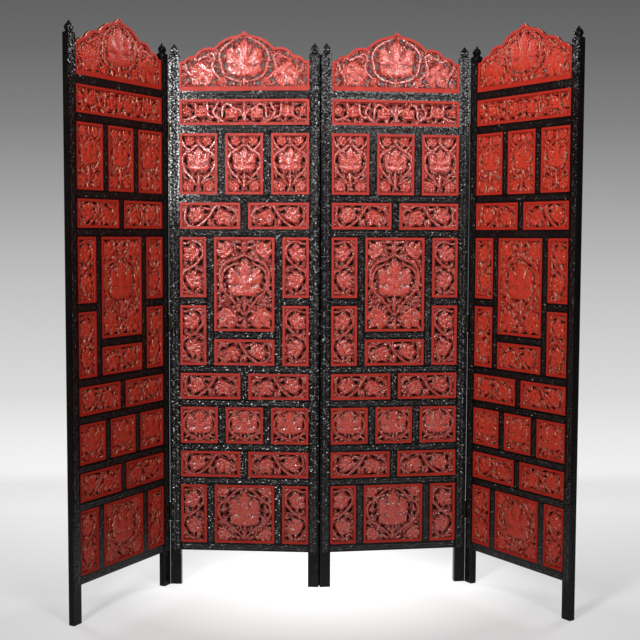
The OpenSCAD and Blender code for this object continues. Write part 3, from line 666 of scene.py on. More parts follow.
def carve_panels(part, kind):
    """The carving of all panels of a node, on every leaf"""
    settings = bpy.context.scene.screen_carving
    form = carved(kind, settings)
    panels = slabs(part, RIM_FACE)
    fill_ground(form, part, kind, panels[0], settings.relief)
    bm = bmesh.new()
    for slab in panels:
        on_right = (slab[0] + slab[1]) / 2 > PATTERN_MIDDLE - 1 * MM
        layout(bm, form, kind, slab, kind in ONE_SIDED and on_right)
    bpy.data.meshes.remove(form)
    coat(part, panel_lacquer)
    dressed(part.replace("_panels", "").replace("_panel", "") + "_carving", as_mesh(bm, kind),
            carving_lacquer)


# A tendril with two sprays of leaves, repeated along the black frame, in shares of the pitch: the
# foot of each spray and the turns of its leaves
TENDRIL = [(-0.5, 0.0), (-0.28, 0.30), (0, 0.0), (0.28, -0.30), (0.5, 0.0)]
TENDRIL_SECTION = [(-0.5, 0), (0.05, 1.0), (0.5, 0)]
TENDRIL_WIDTH = 3.6     # millimetres
TENDRIL_ENDS = 0.9
SPRAYS = [((-0.2, -0.06), (120, 165, 210)), ((0.2, 0.06), (-60, -15, 30))]
SPRAY_LEAF = 0.42       # length of a leaf as a share of the pitch
FRAME_EDGE = 3.5 * MM   # plain edge left on both sides of a bar


def frame_form(settings):
    """One length of the frame's carving, in millimetres, its band as wide as the pitch"""
    pitch = settings.frame_pitch / MM
    height = settings.frame_relief / MM
    path = [(x * pitch, y * pitch) for x, y in TENDRIL]
    made = strands([(path, TENDRIL_WIDTH)], TENDRIL_SECTION, TENDRIL_WIDTH, height,
                   TENDRIL_ENDS, 1)
    bm = bmesh.new()
    bm.from_mesh(made)
    bpy.data.meshes.remove(made)
    for foot, turns in SPRAYS:
        for turn in turns:
            place = turned((foot[0] * pitch, foot[1] * pitch), SPRAY_LEAF * pitch, turn)
            small_leaf(bm, place, height)
    bmesh.ops.recalc_face_normals(bm, faces=bm.faces)
    return as_mesh(bm, "frame_form")


def carve_bar(bm, form, slab, face, settings):
    """Repeats the frame's carving along one bar, on both of its faces"""
    left, right, bottom, top = slab
    upright = top - bottom > right - left
    length, width = (top - bottom, right - left) if upright else (right - left, top - bottom)
    count = max(1, round((length - FRAME_EDGE) / settings.frame_pitch))
    step = (length - FRAME_EDGE) / count
    along = step / settings.frame_pitch * MM
    across = (width - 2 * FRAME_EDGE) / settings.frame_pitch * MM
    for i in range(count):
        run = (FRAME_EDGE + step) / 2 + i * step
        swap = -1 if i % 2 else 1
        runs, crosses = (along, 0, 0), (0, swap * across, 0)
        for side in (-1, 1):
            out = (0, 0, side * MM, side * face)
            if upright:
                rows = ((*crosses, left + width / 2), out, (*runs, bottom + run))
            else:
                rows = ((*runs, left + run), out, (*crosses, bottom + width / 2))
            add_copy(bm, form, Matrix((*rows, (0, 0, 0, 1))))


def carve_frame(part, face, bars=None):
    """The carving of all bars of a node, on every leaf"""
    settings = bpy.context.scene.screen_carving
    form = frame_form(settings)
    bm = bmesh.new()
    for slab in bars or slabs(part, face):
        carve_bar(bm, form, slab, face, settings)
    bpy.data.meshes.remove(form)
    coat(part, black_lacquer)
    dressed(part + "_carving", as_mesh(bm, part), carved_black)


# Section of the bead along a hinged edge, in millimetres: x out from the edge, y proud of the face.
# It keeps within a circle about the pins, so the fold turns past it.
BEAD = [(-2.2, -0.2), (-2.0, 0.65), (-1.2, 1.0), (1.7, 1.05), (1.85, 0.95), (1.5, 0.6), (1.1, 0.35),
        (0.5, 0.15), (0.0, 0.1), (0.0, -0.2)]
HINGE_CLEAR = 33 * MM   # how far above and below the middle of a hinge the bead ends
HINGES_APART = 100 * MM


def bead(leaf, side, face):
    """A bead along one edge of a leaf, left out at the hinges; side and face are -1 or 1"""
    stile = leaf.node("left_stile" if side < 0 else "right_stile").data
    seen = [leaf.matrix.inverted() @ v.co for v in stile.vertices]
    edge = (min if side < 0 else max)(c.x for c in seen)
    top = max(c.z for c in seen if abs(c.x - edge) < 0.1 * MM)
    hinges = [round(z, 3) for z in hinge_heights(leaf)]
    ends = [0.0] + [z + d for z in hinges for d in (-HINGE_CLEAR, HINGE_CLEAR)] + [top]
    bm = bmesh.new()
    for low, high in zip(ends[::2], ends[1::2]):
        ring = [bm.verts.new((edge + side * x * MM, face * (STILE_FACE + y * MM), low))
                for x, y in BEAD]
        section = bm.faces.new(ring)
        made = bmesh.ops.extrude_face_region(bm, geom=[section])["geom"]
        bmesh.ops.translate(bm, vec=(0, 0, high - low),
                            verts=[g for g in made if isinstance(g, bmesh.types.BMVert)])
    bmesh.ops.recalc_face_normals(bm, faces=bm.faces)
    bmesh.ops.transform(bm, matrix=leaf.matrix, verts=bm.verts)
    name = f"{leaf.name}_{'left' if side < 0 else 'right'}_bead"
    piece = bpy.data.objects.new(name, as_mesh(bm, name))
    bpy.context.collection.objects.link(piece)
    piece.data.materials.append(black_lacquer(leaf))
    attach(piece, leaf.body)


def hinge_heights(leaf):
    """The heights of the middles of a leaf's hinges"""
    bm = bmesh.new()
    bm.from_mesh(leaf.node("hinge_plates").data)
    levels = sorted({round(v.co.z, 4) for v in bm.verts})
    bm.free()
    rows, row = [], [levels[0]]
    for z in levels[1:]:
        if z - row[-1] > HINGES_APART:
            rows.append(row)
            row = []
        row.append(z)
    return [(row[0] + row[-1]) / 2 for row in rows + [row]]


# ---------------------------------------------------------------- finishes
GRAIN = (0.3, 0.7)      # the values that the noise of the brushed lacquer takes, nearly always


def new_material(name):
    material = bpy.data.materials.new(name)
    material.use_nodes = True
    nodes = material.node_tree.nodes
    nodes.clear()
    shader = nodes.new("ShaderNodeBsdfPrincipled")
    output = nodes.new("ShaderNodeOutputMaterial")
    material.node_tree.links.new(shader.outputs["BSDF"], output.inputs["Surface"])
    return material, shader


def new_group(name, inputs, outputs):
    """A shader node group with named sockets, given as (name, type, value) and (name, type)"""
    group = bpy.data.node_groups.new(name, "ShaderNodeTree")
    for label, kind, value in inputs:
        socket = group.interface.new_socket(name=label, in_out="INPUT", socket_type=kind)
        if value is not None:
            socket.default_value = value
    for label, kind in outputs:
        group.interface.new_socket(name=label, in_out="OUTPUT", socket_type=kind)
    start = group.nodes.new("NodeGroupInput")
    end = group.nodes.new("NodeGroupOutput")
    return group, start, end


def math_node(group, operation, first, second=None):
    node = group.nodes.new("ShaderNodeMath")
    node.operation = operation
    for socket, value in zip(node.inputs, (first, second)):
        if isinstance(value, (int, float)):
            socket.default_value = value
        elif value is not None:
            group.links.new(value, socket)
    return node.outputs[0]


def leaf_depth_group():
    """Where a point lies in the thickness of its leaf: its height above the fretwork as 0 to 1, a
    mask of the grounds of the openings and one of their sawn walls"""
    name = "Leaf depth"
    if name in bpy.data.node_groups:
        return bpy.data.node_groups[name]
    group, start, end = new_group(
        name,
        [("Place", "NodeSocketVector", None), ("Facing", "NodeSocketVector", None),
         ("Middle", "NodeSocketFloat", 0.0), ("Low", "NodeSocketFloat", FRET_FACE),
         ("High", "NodeSocketFloat", RIM_FACE)],
        [("Height", "NodeSocketFloat"), ("Pocket", "NodeSocketFloat"), ("Wall", "NodeSocketFloat")])
    dot = group.nodes.new("ShaderNodeVectorMath")
    dot.operation = "DOT_PRODUCT"
    group.links.new(start.outputs["Place"], dot.inputs[0])
    group.links.new(start.outputs["Facing"], dot.inputs[1])
    back = math_node(group, "SUBTRACT", dot.outputs["Value"], start.outputs["Middle"])
    depth = math_node(group, "ABSOLUTE", back)
    rise = group.nodes.new("ShaderNodeMapRange")
    group.links.new(depth, rise.inputs["Value"])
    group.links.new(start.outputs["Low"], rise.inputs["From Min"])
    group.links.new(start.outputs["High"], rise.inputs["From Max"])
    group.links.new(rise.outputs["Result"], end.inputs["Height"])
    inside = ranged(group, depth, FRET_FACE - 0.4 * MM, FRET_FACE - 0.1 * MM, 1, 0)
    deep = ranged(group, back, -1 * MM, 2 * MM, 0, 1)      # the grounds lie behind the middle
    group.links.new(math_node(group, "MULTIPLY", inside, deep), end.inputs["Pocket"])
    group.links.new(inside, end.inputs["Wall"])
    return group


def chased_group():
    """Fine chased veins: a mask that is 1 along them and a height for the bump"""
    name = "Chased veins"
    if name in bpy.data.node_groups:
        return bpy.data.node_groups[name]
    group, start, end = new_group(
        name,
        [("Place", "NodeSocketVector", None), ("Scale", "NodeSocketFloat", 200.0)],
        [("Vein", "NodeSocketFloat"), ("Height", "NodeSocketFloat")])
    bend = group.nodes.new("ShaderNodeTexNoise")
    bend.inputs["Detail"].default_value = 2
    group.links.new(math_node(group, "MULTIPLY", start.outputs["Scale"], 0.5), bend.inputs["Scale"])
    group.links.new(start.outputs["Place"], bend.inputs["Vector"])
    shift = group.nodes.new("ShaderNodeVectorMath")
    shift.operation = "MULTIPLY_ADD"
    group.links.new(bend.outputs["Color"], shift.inputs[0])
    shift.inputs[1].default_value = (0.004, 0.004, 0.004)
    group.links.new(start.outputs["Place"], shift.inputs[2])
    cells = group.nodes.new("ShaderNodeTexVoronoi")
    cells.feature = "DISTANCE_TO_EDGE"
    group.links.new(start.outputs["Scale"], cells.inputs["Scale"])
    group.links.new(shift.outputs["Vector"], cells.inputs["Vector"])
    group.links.new(ranged(group, cells.outputs["Distance"], 0.06, 0.14, 1, 0), end.inputs["Vein"])
    group.links.new(ranged(group, cells.outputs["Distance"], 0, 0.13, 0, 1), end.inputs["Height"])
    return group


def wood_wear_group():
    """Fine unevenness of hand-brushed lacquer: a value for colour, one for gloss and a height"""
    name = "Brushed lacquer"
    if name in bpy.data.node_groups:
        return bpy.data.node_groups[name]
    group, start, end = new_group(
        name,
        [("Place", "NodeSocketVector", None), ("Scale", "NodeSocketFloat", 60.0)],
        [("Tone", "NodeSocketFloat"), ("Gloss", "NodeSocketFloat"), ("Height", "NodeSocketFloat")])
    scales = (("Tone", 0.35, 4), ("Gloss", 1.3, 3), ("Height", 6.0, 2))
    for label, factor, detail in scales:
        grain = group.nodes.new("ShaderNodeTexNoise")
        grain.inputs["Detail"].default_value = detail
        size = math_node(group, "MULTIPLY", start.outputs["Scale"], factor)
        group.links.new(size, grain.inputs["Scale"])
        group.links.new(start.outputs["Place"], grain.inputs["Vector"])
        group.links.new(grain.outputs["Fac"], end.inputs[label])
    return group


def place_group(material, group, leaf=None, **values):
    """Puts a shared group in a material, on Object coordinates"""
    tree = material.node_tree
    node = tree.nodes.new("ShaderNodeGroup")
    node.node_tree = group
    where = tree.nodes.new("ShaderNodeTexCoord")
    tree.links.new(where.outputs["Object"], node.inputs["Place"])
    if leaf:
        node.inputs["Facing"].default_value = leaf.back
        node.inputs["Middle"].default_value = leaf.depth_at
    for label, value in values.items():
        node.inputs[label].default_value = value
    return node


def mixed(tree, factor, first, second):
    """Mixes two colours, each a socket or a colour, on the colour sockets of a Mix node"""
    node = tree.nodes.new("ShaderNodeMix")
    node.data_type = "RGBA"
    sockets = (node.inputs[0], node.inputs[6], node.inputs[7])
    for socket, value in zip(sockets, (factor, first, second)):
        if isinstance(value, bpy.types.NodeSocket):
            tree.links.new(value, socket)
        elif isinstance(value, (int, float)):
            socket.default_value = value
        else:
            socket.default_value = (*value[:3], 1)
    return node.outputs[2]


def ranged(tree, value, low, high, to_low, to_high):
    node = tree.nodes.new("ShaderNodeMapRange")
    labels = ("From Min", "From Max", "To Min", "To Max")
    for label, number in zip(labels, (low, high, to_low, to_high)):
        node.inputs[label].default_value = number
    tree.links.new(value, node.inputs["Value"])
    return node.outputs["Result"]


def bumped(tree, shader, height, strength, distance):
    bump = tree.nodes.new("ShaderNodeBump")
    bump.inputs["Strength"].default_value = strength
    bump.inputs["Distance"].default_value = distance
    tree.links.new(height, bump.inputs["Height"])
    tree.links.new(bump.outputs["Normal"], shader.inputs["Normal"])


def toned(colour, share):
    """A colour made darker or brighter"""
    return tuple(min(1, share * c) for c in colour)


def panel_lacquer(leaf):
    """Red lacquer of the panels: black openings, their grounds painted black as painted shade,
    chased veins on the fretwork darkened by painted shade, the fretwork darker than the plain
    rim as painted shade, and pale streaks on the walls of the openings
    """
    name = f"panel lacquer {leaf.name}"
    if name in bpy.data.materials:
        return bpy.data.materials[name]
    colours = bpy.context.scene.screen_lacquer
    material, shader = new_material(name)
    tree = material.node_tree
    depth = place_group(material, leaf_depth_group(), leaf=leaf, Low=6 * MM, High=8 * MM)
    wear = place_group(material, wood_wear_group(), Scale=60)
    veins = place_group(material, chased_group(), Scale=120)
    rim = depth.outputs["Height"]
    below = math_node(tree, "SUBTRACT", 1, rim)
    veined = math_node(tree, "MULTIPLY", veins.outputs["Vein"], below)
    cut = toned(colours.crevice_shade, leaf.cut)
    # Painted shade: the fretwork between the carving is darker than the rim
    plain = mixed(tree, rim, toned(colours.deep_red, leaf.ground), colours.deep_red)
    worn = mixed(tree, ranged(tree, wear.outputs["Tone"], *GRAIN, 0.3, 0), plain, cut)
    # Painted shade in the chased veins of the fretwork
    red = mixed(tree, math_node(tree, "MULTIPLY", veined, 0.6), worn, cut)
    # Pale streaks in patches on the walls of the openings
    patches = ranged(tree, wear.outputs["Gloss"], leaf.paler, leaf.paler + 0.2, 0, 1)
    paler = math_node(tree, "MULTIPLY", depth.outputs["Wall"], patches)
    sawn = mixed(tree, paler, red, colours.pale_streak)
    # Painted shade: the grounds of the openings are painted black
    shaded = mixed(tree, depth.outputs["Pocket"], sawn, colours.black)
    tree.links.new(shaded, shader.inputs["Base Color"])
    gloss = ranged(tree, wear.outputs["Gloss"], *GRAIN, 0.4, 0.65)
    rough = math_node(tree, "MAXIMUM", gloss, depth.outputs["Pocket"])
    tree.links.new(rough, shader.inputs["Roughness"])
    shader.inputs["Specular IOR Level"].default_value = 0.2 * leaf.sheen
    relief = math_node(tree, "MULTIPLY", veins.outputs["Height"], below)
    fine = math_node(tree, "MULTIPLY", wear.outputs["Height"], 0.3)
    bumped(tree, shader, math_node(tree, "ADD", relief, fine), 0.8, 2 * MM)
    return material


def carving_lacquer(leaf):
    """Red lacquer of the carving: painted shade darkens it where it meets the fretwork and along
    its chased veins, pale streaks lie at its foot, and its own red is bright on its ridges
    """
    name = f"carving lacquer {leaf.name}"
    if name in bpy.data.materials:
        return bpy.data.materials[name]
    colours = bpy.context.scene.screen_lacquer
    material, shader = new_material(name)
    tree = material.node_tree
    depth = place_group(material, leaf_depth_group(), leaf=leaf, Low=6.0 * MM, High=7.6 * MM)
    wear = place_group(material, wood_wear_group(), Scale=60)
    veins = place_group(material, chased_group(), Scale=180)
    cut = toned(colours.crevice_shade, leaf.cut)
    # Painted shade: darker towards the foot of the carving, its own red on top
    shade = mixed(tree, depth.outputs["Height"], cut, colours.red)
    uneven = ranged(tree, wear.outputs["Tone"], *GRAIN, 0.25, 0)
    worn = mixed(tree, uneven, shade, colours.deep_red)
    # Painted shade in the chased veins of the carving
    faint = ranged(tree, veins.outputs["Vein"], 0, 1, 0, 0.55)
    chased = mixed(tree, faint, worn, cut)
    foot = ranged(tree, depth.outputs["Height"], 0.0, 0.3, 1, 0)
    # Pale streaks in patches at the foot of the carving
    patches = ranged(tree, wear.outputs["Gloss"], leaf.paler + 0.08, leaf.paler + 0.2, 0, 1)
    showing = mixed(tree, math_node(tree, "MULTIPLY", foot, patches), chased, colours.pale_streak)
    tree.links.new(showing, shader.inputs["Base Color"])
    gloss = ranged(tree, wear.outputs["Gloss"], *GRAIN, 0.2, 0.36)
    tree.links.new(gloss, shader.inputs["Roughness"])
    shader.inputs["Specular IOR Level"].default_value = leaf.sheen
    bumped(tree, shader, veins.outputs["Height"], 0.7, 1.2 * MM)
    return material


def black_lacquer(leaf, carved=False):
    """Black lacquer: nearly plain on the flat wood, chased and uneven on its carving"""
    name = f"black lacquer {'carved ' if carved else ''}{leaf.name}"
    if name in bpy.data.materials:
        return bpy.data.materials[name]
    colours = bpy.context.scene.screen_lacquer
    material, shader = new_material(name)
    tree = material.node_tree
    wear = place_group(material, wood_wear_group(), Scale=70)
    tone = ranged(tree, wear.outputs["Tone"], 0.35, 0.75, 0, 1)
    paler = toned(colours.black, 1.6)
    tree.links.new(mixed(tree, tone, colours.black, paler), shader.inputs["Base Color"])
    gloss = ranged(tree, wear.outputs["Gloss"], *GRAIN, 0.06, 0.16)
    tree.links.new(gloss, shader.inputs["Roughness"])
    shine = 0.5 if carved else 0.16
    shader.inputs["Specular IOR Level"].default_value = shine * (1 + leaf.sheen) / 2
    veins = place_group(material, chased_group(), Scale=110)
    bumped(tree, shader, veins.outputs["Height"], 0.7 if carved else 0.45, 1 * MM)
    return material


def carved_black(leaf):
    return black_lacquer(leaf, carved=True)


def metal(name, colour, rough):
    """Darkened metal, dullest where its grain shows; rough is its least roughness"""
    if name in bpy.data.materials:
        return bpy.data.materials[name]
    material, shader = new_material(name)
    tree = material.node_tree
    wear = place_group(material, wood_wear_group(), Scale=180)
    tone = ranged(tree, wear.outputs["Tone"], 0.35, 0.7, 0, 1)
    tree.links.new(mixed(tree, tone, toned(colour, 0.45), colour), shader.inputs["Base Color"])
    gloss = ranged(tree, wear.outputs["Gloss"], *GRAIN, rough, rough + 0.25)
    tree.links.new(gloss, shader.inputs["Roughness"])
    bumped(tree, shader, wear.outputs["Height"], 0.15, 0.2 * MM)
    shader.inputs["Metallic"].default_value = 1
    return material


# ---------------------------------------------------------------- operators
class SCREEN_OT_crest(bpy.types.Operator):
    """Carves the crests"""
    bl_idname = "screen.crest"
    bl_label = "Crests"

    def execute(self, context):
        carve_panels("crest", "crest")
        return {"FINISHED"}


class SCREEN_OT_frieze(bpy.types.Operator):
    """Carves the friezes"""
    bl_idname = "screen.frieze"
    bl_label = "Friezes"

    def execute(self, context):
        carve_panels("frieze", "frieze")
        return {"FINISHED"}


class SCREEN_OT_arch_panels(bpy.types.Operator):
    """Carves the rows of tall panels under the friezes"""
    bl_idname = "screen.arch_panels"
    bl_label = "Arch panels"

    def execute(self, context):
        carve_panels("arch_panels", "arch")
        return {"FINISHED"}


class SCREEN_OT_scroll_panels(bpy.types.Operator):
    """Carves the scroll panels"""
    bl_idname = "screen.scroll_panels"
    bl_label = "Scroll panels"

    def execute(self, context):
        carve_panels("scroll_panels", "scroll")
        return {"FINISHED"}


class SCREEN_OT_side_panels(bpy.types.Operator):
    """Carves the side panels"""
    bl_idname = "screen.side_panels"
    bl_label = "Side panels"

    def execute(self, context):
        carve_panels("side_panels", "side")
        return {"FINISHED"}


class SCREEN_OT_centre_panel(bpy.types.Operator):
    """Carves the centre panels"""
    bl_idname = "screen.centre_panel"
    bl_label = "Centre panels"

    def execute(self, context):
        carve_panels("centre_panel", "centre")
        return {"FINISHED"}


class SCREEN_OT_square_panels(bpy.types.Operator):
    """Carves the square panels"""
    bl_idname = "screen.square_panels"
    bl_label = "Square panels"

    def execute(self, context):
        carve_panels("square_panels", "square")
        return {"FINISHED"}


class SCREEN_OT_base_panel(bpy.types.Operator):
    """Carves the panels in the middle of the bottom row"""
    bl_idname = "screen.base_panel"
    bl_label = "Base panels"

    def execute(self, context):
        carve_panels("base_panel", "base")
        return {"FINISHED"}


class SCREEN_OT_rails(bpy.types.Operator):
    """Carves the rails"""
    bl_idname = "screen.rails"
    bl_label = "Rails"

    def execute(self, context):
        carve_frame("rails", RAIL_FACE)
        return {"FINISHED"}


class SCREEN_OT_muntins(bpy.types.Operator):
    """Carves the muntins"""
    bl_idname = "screen.muntins"
    bl_label = "Muntins"

    def execute(self, context):
        carve_frame("muntins", RAIL_FACE)
        return {"FINISHED"}


class SCREEN_OT_stiles(bpy.types.Operator):
    """Carves the stiles from the bottom rail up to the finials"""
    bl_idname = "screen.stiles"
    bl_label = "Stiles"

    def execute(self, context):
        foot = min(s[2] for s in slabs("rails", RAIL_FACE))
        for part in ("left_stile", "right_stile"):
            left, right, bottom, top = slabs(part, STILE_FACE)[0]
            carve_frame(part, STILE_FACE, bars=[(left, right, foot, top)])
        return {"FINISHED"}


class SCREEN_OT_beads(bpy.types.Operator):
    """Runs the beads along the hinged edges of the inner leaves"""
    bl_idname = "screen.beads"
    bl_label = "Beads"

    def execute(self, context):
        left_inner, right_inner = LEAVES[1:3]
        bead(left_inner, -1, -1)
        bead(left_inner, 1, 1)
        bead(right_inner, 1, -1)
        return {"FINISHED"}


class SCREEN_OT_hinges(bpy.types.Operator):
    """Finishes the hinges and their screws and pins"""
    bl_idname = "screen.hinges"
    bl_label = "Hinges"

    def execute(self, context):
        colours = context.scene.screen_lacquer
        for name, node in frame["nodes"].items():
            if name.endswith("hinge_screws"):
                refinish(node, metal("screw steel", colours.steel, 0.35))
            elif name.endswith(("hinge_plates", "pins")):
                refinish(node, metal("hinge brass", colours.brass, 0.3))
        return {"FINISHED"}


class SCREEN_OT_studio(bpy.types.Operator):
    """Sets the floor, the backdrop, the lamps and the camera"""
    bl_idname = "screen.studio"
    bl_label = "Studio"

    def execute(self, context):
        scene = context.scene
        scene.view_settings.view_transform = "Standard"
        backdrop()
        lamps(scene.screen_studio)
        camera(scene)
        return {"FINISHED"}


def backdrop():
    """A floor that sweeps up into a wall behind the screen, measured in metres"""
    bm = bmesh.new()
    width, near, far, high, bend = 16.0, -7.0, 3.4, 7.0, 1.6
    start = [bm.verts.new((x, near, 0)) for x in (-width / 2, width / 2)]
    edges = [bm.edges.new(start)]
    steps = [Vector((0, far - bend - near, 0))]
    last = Vector((0, 0))
    bends = 12
    for i in range(1, bends + 1):
        angle = math.pi / 2 * i / bends
        here = Vector((bend * math.sin(angle), bend * (1 - math.cos(angle))))
        steps.append(Vector((0, here.x - last.x, here.y - last.y)))
        last = here
    steps.append(Vector((0, 0, high - bend)))
    for step in steps:
        edges, verts = extruded(bm, edges)
        bmesh.ops.translate(bm, vec=step, verts=verts)
    bm.faces.ensure_lookup_table()
    if bm.faces[0].normal.z < 0:
        bmesh.ops.reverse_faces(bm, faces=bm.faces)
    for face in bm.faces:
        face.smooth = True
    sweep = bpy.data.objects.new("backdrop", as_mesh(bm, "backdrop"))
    bpy.context.collection.objects.link(sweep)
    sweep.data.materials.append(paper())


# How light the backdrop looks at each height: a glow of painted light that fades upwards
FADE = [(0.0, 0.80), (0.06, 0.78), (0.43, 0.67), (0.91, 0.53), (1.39, 0.37), (1.87, 0.225),
        (2.3, 0.150), (2.6, 0.120)]
TALLEST = 2.6


def paper():
    """Pale floor under a wall that fades to grey. Both glow, so the screen's lamps may stay low,
    and the wall is clear from behind, so the screen's back can be looked at."""
    settings = bpy.context.scene.screen_studio
    material, shader = new_material("paper")
    tree = material.node_tree
    where = tree.nodes.new("ShaderNodeTexCoord")
    split = tree.nodes.new("ShaderNodeSeparateXYZ")
    tree.links.new(where.outputs["Object"], split.inputs["Vector"])
    ramp = tree.nodes.new("ShaderNodeValToRGB")
    tree.links.new(math_node(tree, "DIVIDE", split.outputs["Z"], TALLEST), ramp.inputs["Fac"])
    stops = ramp.color_ramp.elements
    for height, _ in FADE[1:-1]:
        stops.new(height / TALLEST)
    for stop, (height, grey) in zip(stops, FADE):
        stop.position = height / TALLEST
        stop.color = (grey, grey, grey, 1)
    away = tree.nodes.new("ShaderNodeVectorMath")
    away.operation = "DISTANCE"
    away.inputs[1].default_value = (0, 0.35, 0)
    tree.links.new(where.outputs["Object"], away.inputs[0])
    # Painted light: the floor glows most in a pool under the screen, and less towards the camera
    # and the sides
    bright = settings.floor_glow
    pool = ranged(tree, away.outputs["Value"], 0.2, 0.8, bright, 0.4 * bright)
    # Painted light: the floor glows brighter behind the screen
    behind = ranged(tree, split.outputs["Y"], 0.1, 1.3, 0.4, 0.68)
    glow = math_node(tree, "MAXIMUM", pool, behind)
    # Painted fall-off: the floor darkens towards the camera, in colour and in reflections
    before = ranged(tree, split.outputs["Y"], -2.4, -0.8, 0.35, 1)
    floor = ranged(tree, split.outputs["Z"], 0.0, 0.3, 1, 0)
    flat = ranged(tree, split.outputs["Z"], 0.0, 0.02, 1, 0)
    lit = math_node(tree, "MULTIPLY", floor, before)
    tree.links.new(mixed(tree, lit, (0, 0, 0), settings.floor), shader.inputs["Base Color"])
    seen = tree.nodes.new("ShaderNodeLightPath")
    by_camera = seen.outputs["Is Camera Ray"]
    shown = math_node(tree, "MAXIMUM", by_camera, seen.outputs["Is Glossy Ray"])
    grey = mixed(tree, flat, ramp.outputs["Color"], (1, 1, 1))
    tree.links.new(grey, shader.inputs["Emission Color"])
    level = tree.nodes.new("ShaderNodeMix")
    tree.links.new(flat, level.inputs[0])
    level.inputs[2].default_value = 1
    tree.links.new(glow, level.inputs[3])
    # Painted reflection: seen in reflections, the glow dims towards the sides and the camera
    wide = math_node(tree, "ABSOLUTE", split.outputs["X"])
    sides = ranged(tree, wide, 2.2, 4.5, 1, 0.25)
    dim = math_node(tree, "MAXIMUM", math_node(tree, "MULTIPLY", before, sides), by_camera)
    strength = math_node(tree, "MULTIPLY", shown, dim)
    strength = math_node(tree, "MULTIPLY", strength, level.outputs[0])
    tree.links.new(strength, shader.inputs["Emission Strength"])
    side = tree.nodes.new("ShaderNodeNewGeometry")
    front = math_node(tree, "SUBTRACT", 1, side.outputs["Backfacing"])
    tree.links.new(front, shader.inputs["Alpha"])
    shader.inputs["Roughness"].default_value = 1
    shader.inputs["Specular IOR Level"].default_value = 0
    return material


WORLD_LIGHT = 0.05      # what the world gives the screen
WORLD_SEEN = 0.55       # how light it looks where a view passes the backdrop
LAMPS_AIM = Vector((0, 0, 2.2))     # above the screen, so the light falls off downwards
LAMPS_SPREAD = math.radians(90)


def lamps(settings):
    """Two high lamps and two softboxes in front, one overhead, two behind, and a faint world"""
    world = bpy.data.worlds.new("studio")
    world.use_nodes = True
    tree = world.node_tree
    seen = tree.nodes.new("ShaderNodeLightPath")
    strength = ranged(tree, seen.outputs["Is Camera Ray"], 0, 1, WORLD_LIGHT, WORLD_SEEN)
    tree.nodes["Background"].inputs["Color"].default_value = (1, 1, 1, 1)
    tree.links.new(strength, tree.nodes["Background"].inputs["Strength"])
    bpy.context.scene.world = world
    key, side = settings.key_power, settings.side_power
    for name, at, size, power in (
            ("left key", (-1.2, -2.9, 3.4), (0.9, 0.6), key),
            ("right key", (1.2, -2.9, 3.4), (0.9, 0.6), key * 0.65),
            ("left softbox", (-1.64, -3.3, 2.0), (0.5, 1.3), side),
            ("right softbox", (1.6, -3.3, 2.3), (1.1, 0.9), side * 0.42),
            ("overhead", (0.0, -1.6, 3.3), (2.4, 0.7), settings.fill_power),
            ("back left", (-2.9, 2.5, 2.6), (1.2, 1.2), settings.back_power),
            ("back right", (2.9, 2.5, 2.6), (1.2, 1.2), settings.back_power)):
        lamp = bpy.data.lights.new(name, "AREA")
        lamp.shape = "RECTANGLE"
        lamp.size, lamp.size_y = size
        lamp.spread = LAMPS_SPREAD
        lamp.energy = power
        placed = bpy.data.objects.new(name, lamp)
        placed.location = at
        placed.visible_camera = False
        placed.rotation_euler = (LAMPS_AIM - placed.location).to_track_quat("-Z", "Y").to_euler()
        bpy.context.collection.objects.link(placed)


# The camera as it was solved from the photograph: place in metres, turns in degrees, lens in
# millimetres
CAMERA_AT = (-0.07294, -3.73224, 1.17576)
CAMERA_YAW, CAMERA_PITCH, CAMERA_ROLL = 0.936, -4.059, 0.203
CAMERA_LENS, CAMERA_SENSOR = 66.29, 36


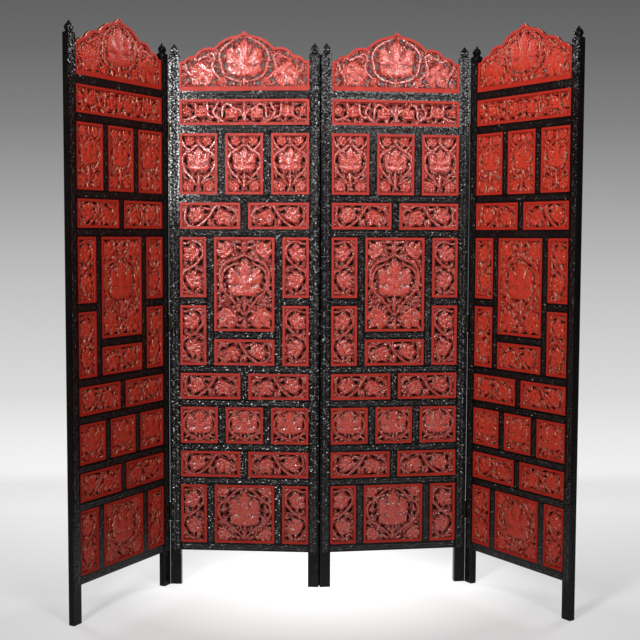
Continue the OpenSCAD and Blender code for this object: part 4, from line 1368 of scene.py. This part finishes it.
def camera(scene):
    """The camera at the place from which the screen was photographed"""
    lens = bpy.data.cameras.new("camera")
    lens.lens = CAMERA_LENS
    lens.sensor_width = CAMERA_SENSOR
    lens.clip_end = 60
    seen = bpy.data.objects.new("camera", lens)
    yaw, pitch, roll = map(math.radians, (CAMERA_YAW, CAMERA_PITCH, CAMERA_ROLL))
    ahead = Vector((
        math.sin(yaw) * math.cos(pitch), math.cos(yaw) * math.cos(pitch), math.sin(pitch)))
    level = Vector((math.cos(yaw), -math.sin(yaw), 0))
    above = level.cross(ahead)
    right = math.cos(roll) * level + math.sin(roll) * above
    up = -math.sin(roll) * level + math.cos(roll) * above
    turn = Matrix((right, up, -ahead)).transposed()
    seen.matrix_world = Matrix.Translation(CAMERA_AT) @ turn.to_4x4()
    bpy.context.collection.objects.link(seen)
    scene.camera = seen


class SCREEN_PT_panel(bpy.types.Panel):
    bl_label = "Screen"
    bl_idname = "SCREEN_PT_panel"
    bl_space_type = "VIEW_3D"
    bl_region_type = "UI"
    bl_category = "Screen"

    def draw(self, context):
        for settings in (context.scene.screen_carving, context.scene.screen_lacquer,
                         context.scene.screen_studio):
            for name in settings.__annotations__:
                self.layout.prop(settings, name)
        for operator in OPERATORS:
            self.layout.operator(operator.bl_idname)


SETTINGS = (CarvingSettings, LacquerSettings, StudioSettings)
OPERATORS = (
    SCREEN_OT_crest, SCREEN_OT_frieze, SCREEN_OT_arch_panels, SCREEN_OT_scroll_panels,
    SCREEN_OT_side_panels, SCREEN_OT_centre_panel, SCREEN_OT_square_panels, SCREEN_OT_base_panel,
    SCREEN_OT_rails, SCREEN_OT_muntins, SCREEN_OT_stiles, SCREEN_OT_beads, SCREEN_OT_hinges,
    SCREEN_OT_studio)


def register():
    for entry in SETTINGS + OPERATORS + (SCREEN_PT_panel,):
        bpy.utils.register_class(entry)
    bpy.types.Scene.screen_carving = PointerProperty(type=CarvingSettings)
    bpy.types.Scene.screen_lacquer = PointerProperty(type=LacquerSettings)
    bpy.types.Scene.screen_studio = PointerProperty(type=StudioSettings)


def unregister():
    del bpy.types.Scene.screen_carving
    del bpy.types.Scene.screen_lacquer
    del bpy.types.Scene.screen_studio
    for entry in reversed(SETTINGS + OPERATORS + (SCREEN_PT_panel,)):
        bpy.utils.unregister_class(entry)


def main():
    register()
    for operator in OPERATORS:
        group, name = operator.bl_idname.split(".")
        getattr(getattr(bpy.ops, group), name)()


if __name__ == "__main__":
    main()
